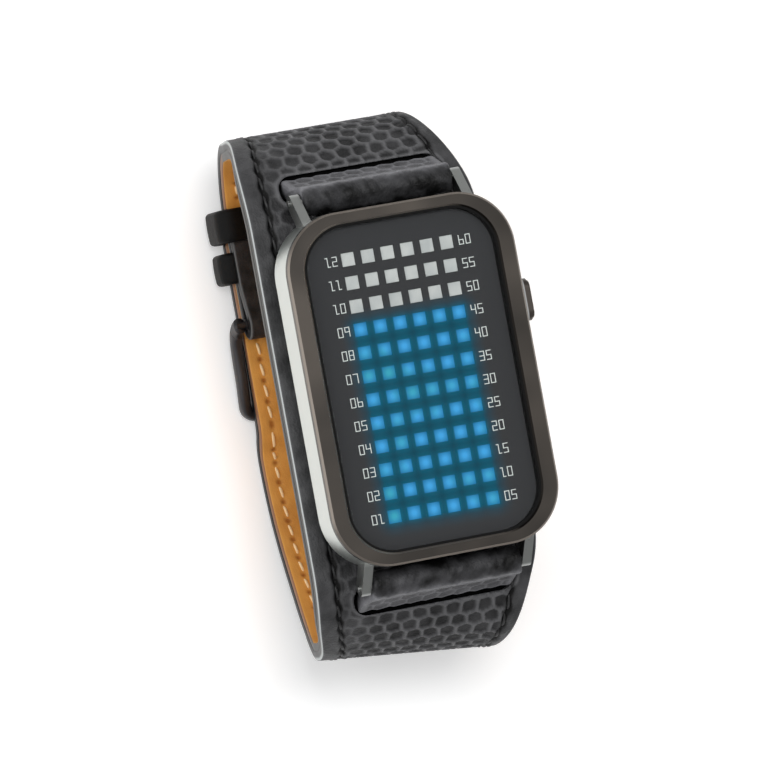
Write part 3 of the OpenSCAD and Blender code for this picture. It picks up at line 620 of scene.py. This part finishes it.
def inset(w):
    """Distance of the stitches from the edge: closer where the strip is narrow."""
    return np.interp(w, [12.4, 15.5], [1.9, 3.1])


def twist(x, y):
    """The 6 o'clock end lies a little askew, as well-used leather does."""
    return -0.1 * x * ease((-y - 30) / 8)


def store_emboss(mesh, shade):
    """Keeps a painted shade from 0 to 1 at each point, which the leather's finish reads."""
    tint = mesh.attributes.new("emboss", "FLOAT", "POINT")
    tint.data.foreach_set("value", shade.reshape(-1).astype(np.float32))


def ribbon(name, line, w3, w9, top, bottom, relief=None):
    """A strip between two depths under the line, with rounded long edges, as a closed mesh.
    relief(x, s, off) gives the height of the outer face and a painted shade from 0 to 1, where
    off is the distance from the line of stitches, less than 0 towards the edge."""
    # Columns of the outer face, close together along both edges
    side = np.concatenate([[0.02, 0.12], np.arange(0.3, 4.6, 0.25)])
    across = np.linspace(0, 1, STRIP_COLUMNS)[1:-1]
    full = (w3 + w9)[:, None]
    near = np.minimum(side[None, :], 0.45 * full * side[None, :] / side[-1])
    mid_0, mid_1 = near[:, -1:], full - near[:, -1:]
    u = np.concatenate([near, mid_0 + (mid_1 - mid_0) * across, full - near[:, ::-1]], 1)
    x = u - w9[:, None]
    inside = np.minimum(u, full - u)
    s = np.broadcast_to(line[:, 4:5], x.shape)
    depth = top + rounding(inside, min(0.3, abs(bottom - top) / 2.5))
    shade = np.zeros_like(x)
    if relief:
        seam = np.where(x > (w3 - w9)[:, None] / 2, inset(w3)[:, None], inset(w9)[:, None])
        lift, shade = relief(x, s, inside - seam)
        depth = depth - lift * ease(inside / 0.4)
        # Painted highlight: no shade on the outer corner of each edge
        shade = shade * ease((inside - 0.08) / 0.25)
    # The two walls, by distance in from the edge and share of the thickness, and the inner face
    wall = np.array([[0, 0.35], [0, 0.65], [0.06, 1]])
    right_x = w3[:, None] - wall[None, :, 0]
    left_x = -w9[:, None] + wall[None, ::-1, 0]
    low_x = (full - 0.3) * np.linspace(1, 0, 11) + 0.15 - w9[:, None]
    wall_d = np.broadcast_to(top + (bottom - top) * wall[:, 1], right_x.shape)
    wall_s = np.broadcast_to(wall[:, 1], right_x.shape)
    ring_x = np.concatenate([x, right_x, low_x, left_x], 1)
    ring_d = np.concatenate([depth, wall_d, np.full(low_x.shape, bottom), wall_d[:, ::-1]], 1)
    # Painted shade that deepens down the walls and is full on the inner face
    ring_s = np.concatenate([shade, wall_s, np.ones(low_x.shape), wall_s[:, ::-1]], 1)
    y = line[:, 0:1] - line[:, 2:3] * ring_d
    z = line[:, 1:2] - line[:, 3:4] * ring_d
    points = np.stack([ring_x, y + twist(ring_x, y), z - TABLE], 2)
    rows, m = ring_x.shape
    faces = skin(rows, m)
    column = np.arange(len(faces)) % m
    on_edge = (np.abs(column - x.shape[1]) <= 2) | (column >= m - 4) | (column < 1)
    mesh = form(name, points.reshape(-1, 3), faces + caps(rows, m))
    mesh.polygons.foreach_set("material_index", on_edge.astype(np.int32).tolist() + [1, 1])
    store_emboss(mesh, ring_s)
    return mesh


def emboss(x, s):
    """Distance from the net between ovals: 0 on the net and 1 in the middle of an oval."""
    row = np.floor(s / CELL_H)
    first = np.full(x.shape, 9.0)
    second = np.full(x.shape, 9.0)
    for dr in (-1, 0, 1):
        r = row + dr
        shift = np.where(r % 2 == 0, 0.0, CELL_W / 2)
        c = np.round((x - shift) / CELL_W)
        for dc in (-1, 0, 1):
            k = c + dc
            jx = STRAY_X * np.sin(12.9 * k + 7.3 * r)
            js = STRAY_S * np.sin(5.1 * k + 3.7 * r + 1)
            gap = np.hypot((x - shift - k * CELL_W - jx) / CELL_W,
                           (s - (r + 0.5) * CELL_H - js) / CELL_W * 1.12)
            second = np.minimum(second, np.maximum(first, gap))
            first = np.minimum(first, gap)
    return np.clip((second - first) / 0.42, 0, 1)


fold = [np.array([[FOLD_END, FOLD_Z], [FOLD_BEND, FOLD_Z]]),
        bridge((FOLD_BEND - 0.1, FOLD_Z), (-1, 0), (13.4, 9.56), (-0.94, 0.342), 6, 60),
        arc(*PIN, 70, 270)]
outer_line = cuff_line(fold)
w3, w9 = half_widths(outer_line)


def slot_distance(x, s):
    """Distance outside the outline of the nearer slot, and far for the back of the cuff."""
    y, z = (np.interp(s, outer_line[:, 4], outer_line[:, k]) for k in (0, 1))
    dx = np.maximum(np.abs(x) - SLOT_L / 2 + SLOT_R, 0)
    dy = np.maximum(np.abs(np.abs(y) - SLOT_Y) - SLOT_W / 2 + SLOT_R, 0)
    return np.hypot(dx, dy) - SLOT_R + np.where(z > 28, 0, 99)


def outer_relief(x, s, off):
    """Embossed net between the two stitch grooves, and the grooves with their puckers, with a
    painted shade that is dark in the ovals, the grooves and the margins.
    """
    beat = np.sin(2 * np.pi * s / STITCH_PITCH)
    groove = np.exp(-((off - 0.16 * beat) / 0.34)**2)
    pucker = PUCKER * np.exp(-((np.abs(off) - 0.7) / 0.3)**2) * (1 + beat)
    # The net is pressed less deep towards the edge at 9 o'clock, where the painted shade is
    # darker and more even
    area = ease((off - 0.4) / 0.5) * (0.35 + 0.65 * ease((x + 15) / 9))
    pattern = ease(emboss(x, s) * 1.5 - 0.2)
    # The turned-over end is plain and darker in painted shade, and the slots have a raised rim
    # that carries a painted highlight
    turned = ease((25 - s) / 3)
    rim = np.exp(-((slot_distance(x, s) - 0.3) / 0.25)**2)
    lift = 0.02 - NET_DEPTH * pattern * area - GROOVE_DEPTH * groove + pucker
    lift = lift * (1 - turned) + SLOT_RIM * rim
    # Nothing stands proud where the cuff lies on the table
    pressed = ease((0.8 - np.interp(s, outer_line[:, 4], outer_line[:, 1])) / 0.4)
    lift = np.minimum(lift, 0.25 - 0.25 * pressed)
    # Painted shade: dark in the ovals, the grooves and the margins
    shade = pattern * area * 0.68 + 0.5 * (1 - area) + groove
    return lift, np.clip(shade * (1 - rim) * (1 - turned) + 0.72 * turned, 0, 1)


def leather_finish(name, light, dark, rough):
    """Grained leather whose hollows and grooves are darker, by the painted shade stored at its
    points, with random patches of tone.
    """
    made = Finish(name, light, rough)
    painted_shade_and_highlight = made.emboss()
    patches = made.noise(0.3, 4)
    made.shade(light, dark, (painted_shade_and_highlight * 1.1 + patches * 0.9 - 0.4).clamp())
    pores = made.node("ShaderNodeTexVoronoi", {}, made.place(), out="Distance", Scale=2.6)
    made.relief(pores * 0.6 + made.noise(5, 4) * 0.8, 0.6, 0.15)
    made.set(Roughness=painted_shade_and_highlight * 0.12 + patches * 0.1 + rough, Specular_IOR_Level=0.22)
    return made


hide = leather_finish("black embossed leather", "5e5e60", "050505", 0.4)
# The cut edge carries a painted highlight at its upper corner on the front of the cuff, and
# painted shade down its wall and lower than 30.6 mm under the crystal
edge_dye_and_highlight = Finish("dyed cut edge with painted light", "8f9593", 0.4, Specular_IOR_Level=0.3)
behind = (edge_dye_and_highlight.axis(2) * -0.17 - 5.2).clamp()
edge_dye_and_highlight.shade("b4b9b8", "171718", (edge_dye_and_highlight.emboss() * 3 - 0.25 + behind).clamp())
cuff = add("cuff_leather", ribbon("cuff_leather", outer_line, w3, w9, 0, OUTER_T, outer_relief),
           hide, edge_dye_and_highlight, slot="black_leather")
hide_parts("cuff_outer")


def block(name, low, high):
    """A closed box between two corners."""
    corners = [(x, y, z - TABLE) for x in (low[0], high[0]) for y in (low[1], high[1])
               for z in (low[2], high[2])]
    return form(name, corners, [(0, 1, 3, 2), (4, 6, 7, 5), (0, 4, 5, 1), (2, 3, 7, 6),
                                (0, 2, 6, 4), (1, 5, 7, 3)])


def cut(piece, meshes):
    """Takes closed shapes away from a piece."""
    for mesh in meshes:
        tool = bpy.data.objects.new("cutter", mesh)
        bpy.context.scene.collection.objects.link(tool)
        modifier = piece.modifiers.new("cut", "BOOLEAN")
        modifier.operation = "DIFFERENCE"
        modifier.solver = "MANIFOLD"
        modifier.object = tool
        shown = piece.evaluated_get(bpy.context.evaluated_depsgraph_get())
        result = bpy.data.meshes.new_from_object(shown)
        piece.modifiers.clear()
        piece.data = result
        bpy.data.objects.remove(tool)


def punch(name, outline, heights):
    """A closed shape of one outline between two heights."""
    return stack(name, [(outline, z - TABLE) for z in heights])


slots = [punch("slot", rounded(SLOT_L, SLOT_W, SLOT_R, (0, side * SLOT_Y)), SLOT_CUT)
         for side in (1, -1)]
holes = [punch("tail_hole", rounded(*HOLE, (0, HOLE_Y + k * HOLE_PITCH)), HOLE_CUT)
         for k in range(-2, 3)]
cut(cuff, slots + holes + [block("prong slot", *PRONG_SLOT)])

# ---------------------------------------------------------------------------------------
# The black thread: waxed, machine-sewn through both leathers in the groove along each
# edge, one short slanted stitch after another.
# ---------------------------------------------------------------------------------------


def stitches(name, line, w3, w9, depth, first, last, length, radius, tilt, sag):
    """A row of stitches along both edges, each a little capsule that dips at its ends."""
    ring = np.radians(np.arange(0, 360, 45))
    along = np.array([-1, -0.86, -0.45, 0, 0.45, 0.86, 1])
    fat = radius * np.array([0.15, 0.7, 1, 1, 1, 0.7, 0.15])
    capsule = skin(len(along), len(ring)) + caps(len(along), len(ring))
    points, faces = [], []
    for side, w in ((1, w3), (-1, w9)):
        for s in np.arange(line[0, 4] + first, line[-1, 4] - last, STITCH_PITCH):
            at = s + along * length / 2
            y, z, ny, nz, half = (np.interp(at, line[:, 4], c) for c in (*line.T[:4], w))
            x = side * (half - inset(half)) + tilt * along
            dip = depth + sag * along**4
            faces += [[len(points) + k for k in face] for face in capsule]
            for k in range(len(along)):
                for a in ring:
                    lift = fat[k] * np.sin(a) - dip[k]
                    points.append((x[k] + fat[k] * np.cos(a),
                                   y[k] + ny[k] * lift + twist(x[k], y[k]),
                                   z[k] + nz[k] * lift - TABLE))
    return form(name, points, faces)


black_thread = Finish("black thread", "1b1b1c", 0.55)
sewn = stitches("outer_stitches", outer_line, w3, w9, 0.25, first=24, last=12, length=2.5,
                radius=0.24, tilt=0.14, sag=0.3)
add("outer_stitches", sewn, black_thread, slot="black_leather")

# ---------------------------------------------------------------------------------------
# The lining: soft tan leather, glued under the outer leather from the end of the fold to
# the tail, with the cream bobbin thread showing along both edges.
# ---------------------------------------------------------------------------------------
LINING_END = 27.6
# The first stitch's middle from the tail. The needle goes through half a pitch from it.
FIRST_STITCH = 4
NEEDLE = FIRST_STITCH + STITCH_PITCH / 2


def lining_relief(x, s, off):
    """Little pits where the needle went through, and a faint hollow along the stitches, with
    painted shade in the pits.
    """
    phase = (s - NEEDLE) % STITCH_PITCH
    pit = np.exp(-(off**2 + (np.minimum(phase, STITCH_PITCH - phase))**2) / 0.12)
    sunk = np.exp(-(off / 0.5)**2)
    return -0.2 * pit - 0.1 * sunk, np.clip(pit * 1.4, 0, 1)


tan = Finish("tan lining", "c9853a", 0.6, Specular_IOR_Level=0.3)
# Painted shade in the needle pits, over random mottling of the tan
tan.shade("e2a855", "a96b2b", (tan.emboss() + tan.noise(0.16, 4) * 1.3 - 0.45).clamp())
tan.relief(tan.noise(4, 4), 0.35, 0.12)
tan_edge = Finish("dyed lining edge", "2a2624", 0.5)
tan_edge.shade("3e3d3a", "8a5c38", (tan_edge.axis(2) * -0.17 - 5.6).clamp())

# Walked from the tail to the fold, so that its outer face is the one towards the wrist
inner_line = cuff_line([np.array([[LINING_END, STRAP_Z]])])
i3, i9 = (w[::-1] for w in half_widths(inner_line))
inner_line = inner_line[::-1].copy()
inner_line[:, 4] = inner_line[0, 4] - inner_line[:, 4]
inner_line[:, 2:4] *= -1
mesh = ribbon("cuff_lining_leather", inner_line, i3, i9, -STRAP_T, -OUTER_T, lining_relief)
lining = add("cuff_lining_leather", mesh, tan, tan_edge, slot="tan_leather")
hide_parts("cuff_lining")
cut(lining, holes)
cream_thread = Finish("cream thread", "f8dcab", 0.6)
sewn = stitches("lining_stitches", inner_line, i3, i9, -STRAP_T, first=FIRST_STITCH, last=4,
                length=2.0, radius=0.22, tilt=0.12, sag=0.25)
add("lining_stitches", sewn, cream_thread, slot="tan_leather")

# ---------------------------------------------------------------------------------------
# The two wraps: short pieces of the same embossed leather, folded round the spring bars.
# Both ends go down between the lugs, spread, and pass through the slot into the cuff,
# where they are glued between the two leathers.
# ---------------------------------------------------------------------------------------
BAR_Y = 28.1
BAR_Z = 42.7
WRAP_R = 2.2
WRAP_T = 1.25
WRAP_LEAN = math.radians(20)
WRAP_HALF = 11.3
FLARE_HALF = 11.8
# Down along the legs from the bar: where they meet, where the outer one is straight, their ends
MEET = 3.4
STRAIGHT = 3.8
LEG = 7.3
TUCK_HALF = 12.7
TUCK_T = 0.6
WRAP_COLUMNS = 110


def wrap_mesh(name, side):
    """The folded leather as one closed band round its profile, embossed where it leans out."""
    lean = np.array([math.sin(WRAP_LEAN), -math.cos(WRAP_LEAN)])
    out = np.array([math.cos(WRAP_LEAN), math.sin(WRAP_LEAN)])

    def spot(aside, down):
        """A place aside from the bar and down along the legs."""
        return np.array([BAR_Y, BAR_Z]) + out * aside + lean * down

    over = math.degrees(math.atan2(-out[1], -out[0])) % 360
    loop = arc(BAR_Y, BAR_Z, WRAP_R * 0.985, over - 4, over - 176)
    line = trail([
        np.array([spot(0.02 - WRAP_T, LEG), spot(-WRAP_T * 0.98, MEET)]),
        bridge(spot(-WRAP_T * 0.98, MEET - 0.1), -lean, spot(-WRAP_R * 0.97, 0.2), -lean, 3, 30),
        loop,
        bridge(loop[-1], lean, spot(WRAP_T * 1.02, STRAIGHT), lean, 3, 40),
        np.array([spot(WRAP_T - 0.02, LEG)])], 0.16)
    line[:, 2:4] *= -1
    down = (line[:, 0] - BAR_Y) * lean[0] + (line[:, 1] - BAR_Z) * lean[1]
    half = WRAP_HALF + (FLARE_HALF - WRAP_HALF) * ease((down - 2.3) / 1.5)
    rim = np.array([0, 0.05, 0.14, 0.28, 0.45])
    u = np.concatenate([rim, np.linspace(0.6, 2 * WRAP_HALF - 0.6, WRAP_COLUMNS),
                        2 * WRAP_HALF - rim[::-1]])
    inside = np.minimum(u, 2 * WRAP_HALF - u)
    x = (u - WRAP_HALF)[None, :] * (half / WRAP_HALF)[:, None]
    s = np.broadcast_to(line[:, 4:5], x.shape)
    # The outer leg is embossed, the loop over the bar creased, with a ridge between them
    to_end = line[-1, 4] - s
    leaning = ease((8.6 - to_end) / 1.2)
    pattern = ease(emboss(x * 1.02, s + 1.1) * 1.5) * ease((inside[None, :] - 0.7) / 0.6)
    crease = 0.07 * np.sin(2.3 * x + 3 * np.sin(0.9 * x + side) + 1.7 * s) * (1 - leaning)
    ridge = 0.16 * np.exp(-((7.9 - to_end) / 0.5)**2) * (1 + 0.4 * np.sin(1.9 * x))
    depth = rounding(inside, rim[-1])[None, :] - crease - ridge + 0.16 * pattern * leaning
    y = line[:, 0:1] - line[:, 2:3] * depth
    z = line[:, 1:2] - line[:, 3:4] * depth
    rows, m = x.shape
    faces = skin(rows, m, rows_close=True, columns_close=False)
    faces += [[k * m for k in range(rows)], [k * m + m - 1 for k in range(rows)][::-1]]
    if side > 0:
        faces = [face[::-1] for face in faces]
    mesh = form(name, np.stack([x, side * y, z - TABLE], 2).reshape(-1, 3), faces)
    # Painted shade over the loop round the bar and in the hollows of the outer leg, with a
    # painted highlight in a wrinkled band just past the ridge
    wrinkle = np.sin(3.1 * x + 2.2 * np.sin(1.3 * x + side)) * np.sin(5 * s + 1.4 * x)
    bright = np.exp(-((6.9 - to_end) / 1.3)**2) * (0.75 + 0.25 * wrinkle)
    painted_shade_and_highlight = 0.75 * (1 - leaning) + leaning * (0.12 + 0.4 * pattern) - bright * 0.9
    store_emboss(mesh, np.clip(painted_shade_and_highlight, 0, 1))
    return mesh


# The wraps' leather is the cuff's, given a lighter colour as painted light
wrap_hide = leather_finish("black wrap leather", "78787c", "060606", 0.36)
# The wraps' ends are near black, as painted shade at the bottom of the slots
tuck_painted_shade = Finish("tuck leather in painted shade", "070707", 0.9, Specular_IOR_Level=0.1)
for side, hour, node, turn in ((1, "12", "lug_strap_12", (43, 82)),
                               (-1, "6", "lug_strap_6", (98, 137))):
    wrap = add(f"wrap_{hour}_leather", wrap_mesh(node, side), wrap_hide, slot="black_leather")
    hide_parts(node)
    # Its ends lie between the outer leather and the lining
    under = trail([arc(side * SHOULDER[0], *SHOULDER[1:], *turn)], 0.8)
    half = np.full(len(under), TUCK_HALF)
    mesh = ribbon("tuck", under, half, half, OUTER_T - 0.03, OUTER_T + TUCK_T)
    tuck = add(f"wrap_{hour}_tuck", mesh, tuck_painted_shade, tuck_painted_shade, slot="black_leather")
    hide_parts(node)

# ---------------------------------------------------------------------------------------
# The two keepers: loops of doubled black leather with skived, rounded edges. One is held
# in the strap and the other slides on it.
# ---------------------------------------------------------------------------------------
KEEPER_HALF = 12.7
KEEPER_LOW = 1.6
KEEPER_T = 1.6
KEEPER_EDGE = 0.55
KEEPER_CROWN = 0.1


def keeper_mesh(name, middle, width, low, high, inner_high, r_out):
    """A closed loop: a soft rounded section carried round a rounded rectangle."""
    outer = rounded(2 * (KEEPER_HALF + KEEPER_T), high - low, r_out, (0, (low + high) / 2), 12)
    inner = rounded(2 * KEEPER_HALF, inner_high - KEEPER_LOW, 0.35,
                    (0, (KEEPER_LOW + inner_high) / 2), 12)
    # The section by place across and share of the thickness: from the outer face over the
    # rounded edge to the inner face and back
    turn = np.radians([25, 50, 75, 90])
    flat = width / 2 - KEEPER_EDGE
    edge, deep = flat + KEEPER_EDGE * np.sin(turn), 0.5 * (1 - np.cos(turn))
    t = np.concatenate([np.linspace(-flat, flat, 9), edge, edge[::-1],
                        np.linspace(flat, -flat, 5), -edge, -edge[::-1]])
    d = np.concatenate([np.zeros(9), deep, 1 - deep[::-1], np.ones(5), 1 - deep, deep[::-1]])
    share = d - KEEPER_CROWN * (1 - (t / (width / 2))**2) * (d < 0.3)
    loop = outer[:, None] + (inner - outer)[:, None] * share[:, None]
    points = np.stack([loop[..., 0], np.broadcast_to(middle + t, loop.shape[:2]),
                       loop[..., 1] - TABLE], 2)
    faces = [face[::-1] for face in skin(len(outer), len(t), rows_close=True)]
    return form(name, points.reshape(-1, 3), faces)


plain_hide = Finish("black keeper leather", "090909", 0.5, Specular_IOR_Level=0.12)
plain_hide.relief(plain_hide.noise(2.4, 5), 0.4, 0.15)
mesh = keeper_mesh("fixed_keeper_leather", middle=21.2, width=4.7, low=0.2, high=6.88,
                   inner_high=5.9, r_out=2.3)
fixed = add("fixed_keeper_leather", mesh, plain_hide, slot="black_leather")
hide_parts("fixed_keeper")
mesh = keeper_mesh("free_keeper_leather", middle=27.45, width=5.0, low=0.26, high=9.48,
                   inner_high=8.1, r_out=2.6)
free = add("free_keeper_leather", mesh, plain_hide, body="free_keeper", slot="black_leather")
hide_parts("free_keeper")

# ---------------------------------------------------------------------------------------
# The buckle: a cast frame of rounded section, plated in dark gunmetal, that turns on its
# bar in the leather's fold, with a bent prong on the same bar.
# ---------------------------------------------------------------------------------------
FRAME_HALF = 13.5
FRAME_T = 1.7
FRAME_H = 2.3
# One side from the bar to the front: distance in from the side, Y and height over the table
FRAME_SIDE = np.array([
    (0, 12.6, 7.35), (0, 12.3, 6.0), (0, 11.6, 4.6), (0, 10, 3.7), (0, 7.5, 3.3),
    (0, 4, 3.1), (0, 1.2, 2.5), (0.3, -0.4, 1.5), (1.4, -0.9, 1.35)])
FRAME_STATIONS = 76
FRAME_SOFTENING = 8


def squared(wave, size):
    """A wave with fuller shoulders, so that the section is between an oval and a block."""
    return np.sign(wave) * np.abs(wave)**0.7 * size / 2


def frame_mesh(name):
    """A rounded section carried down one side from the bar, along the front and up again."""
    run = np.linalg.norm(np.diff(FRAME_SIDE, axis=0), axis=1)
    run = np.concatenate([[0], np.cumsum(run)])
    at = np.linspace(0, run[-1], FRAME_STATIONS)
    path = np.stack([np.interp(at, run, c) for c in FRAME_SIDE.T], 1)
    for _ in range(FRAME_SOFTENING):
        path[1:-1] = (path[:-2] + path[2:]) / 2
    left = path - (FRAME_HALF, 0, 0)
    path = np.concatenate([left, (left * (-1, 1, 1))[::-1]])
    go = np.gradient(path, axis=0)
    go /= np.linalg.norm(go, axis=1)[:, None]
    # The section stands upright along the sides and the front, and turns with them
    out = np.cross(go, np.where(np.abs(go[:, 2:]) > 0.8, (0, 1, 0), (0, 0, 1)))
    out = np.stack([out[:, 0], out[:, 1], np.zeros(len(out))], 1)
    out /= np.maximum(np.linalg.norm(out, axis=1), 1e-6)[:, None]
    high = np.cross(out, go)
    a = np.radians(np.arange(0, 360, 15))
    points = (path[:, None] + out[:, None] * squared(np.cos(a), FRAME_T)[:, None]
              + high[:, None] * squared(np.sin(a), FRAME_H)[:, None])
    points[:, :, 2] -= TABLE
    rows, m = points.shape[:2]
    return form(name, points.reshape(-1, 3), skin(rows, m) + caps(rows, m))


gunmetal = Finish("gunmetal", "3d3c3e", 0.42, Metallic=0.7)
gunmetal.cover("buckle_bar", "prong", "buckle_frame")
buckle = add("buckle_frame_cast", frame_mesh("buckle_frame_cast"), gunmetal, body="buckle_frame",
             slot="buckle_steel")
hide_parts("buckle_frame")

# ---------------------------------------------------------------------------------------
# The studio: a plain white floor, an even white sky and two soft square lamps, one from
# the left and one from above. Floor and sky are white where the camera looks at them.
# ---------------------------------------------------------------------------------------
FLOOR_HALF = 2
SKY_LIGHT = 0.45

floor_mesh = bpy.data.meshes.new("floor")
floor_mesh.from_pydata([(x * FLOOR_HALF, y * FLOOR_HALF, cad_low.z)
                        for x, y in ((-1, -1), (1, -1), (1, 1), (-1, 1))], [], [(0, 1, 2, 3)])
floor = bpy.data.objects.new("floor", floor_mesh)
bpy.context.scene.collection.objects.link(floor)
paper = Finish("floor paper", "f0f0f0", 0.9, Specular_IOR_Level=0.0)
seen = [paper.node("ShaderNodeLightPath", {}, out=f"Is {ray} Ray")
        for ray in ("Camera", "Glossy", "Transmission")]
lift = paper.between("000000", "909090", (seen[0] + seen[1] + seen[2]).clamp())
paper.set(Emission_Color=lift, Emission_Strength=1.0)
floor_mesh.materials.append(paper.material)

world = bpy.data.worlds.new("even sky")
bpy.context.scene.world = world
world.use_nodes = True
sky = Shading(world.node_tree, "Background")
looked_at = sky.node("ShaderNodeLightPath", {}, out="Is Camera Ray")
sky.set(Color=(1, 1, 1, 1), Strength=looked_at * (1 - SKY_LIGHT) + SKY_LIGHT)

for name, place, size, energy in (("left lamp", (-0.7, 0.1, 0.4), 0.7, 2.5),
                                  ("top lamp", (-0.1, 0.2, 0.95), 0.35, 5)):
    lamp = bpy.data.objects.new(name, bpy.data.lights.new(name, "AREA"))
    lamp.data.shape = "SQUARE"
    lamp.data.size = size
    lamp.data.energy = energy
    at = Vector(place)
    lamp.matrix_world = Matrix.Translation(at) @ at.to_track_quat("Z", "Y").to_matrix().to_4x4()
    bpy.context.scene.collection.objects.link(lamp)

view = bpy.context.scene.view_settings
view.view_transform = "Standard"
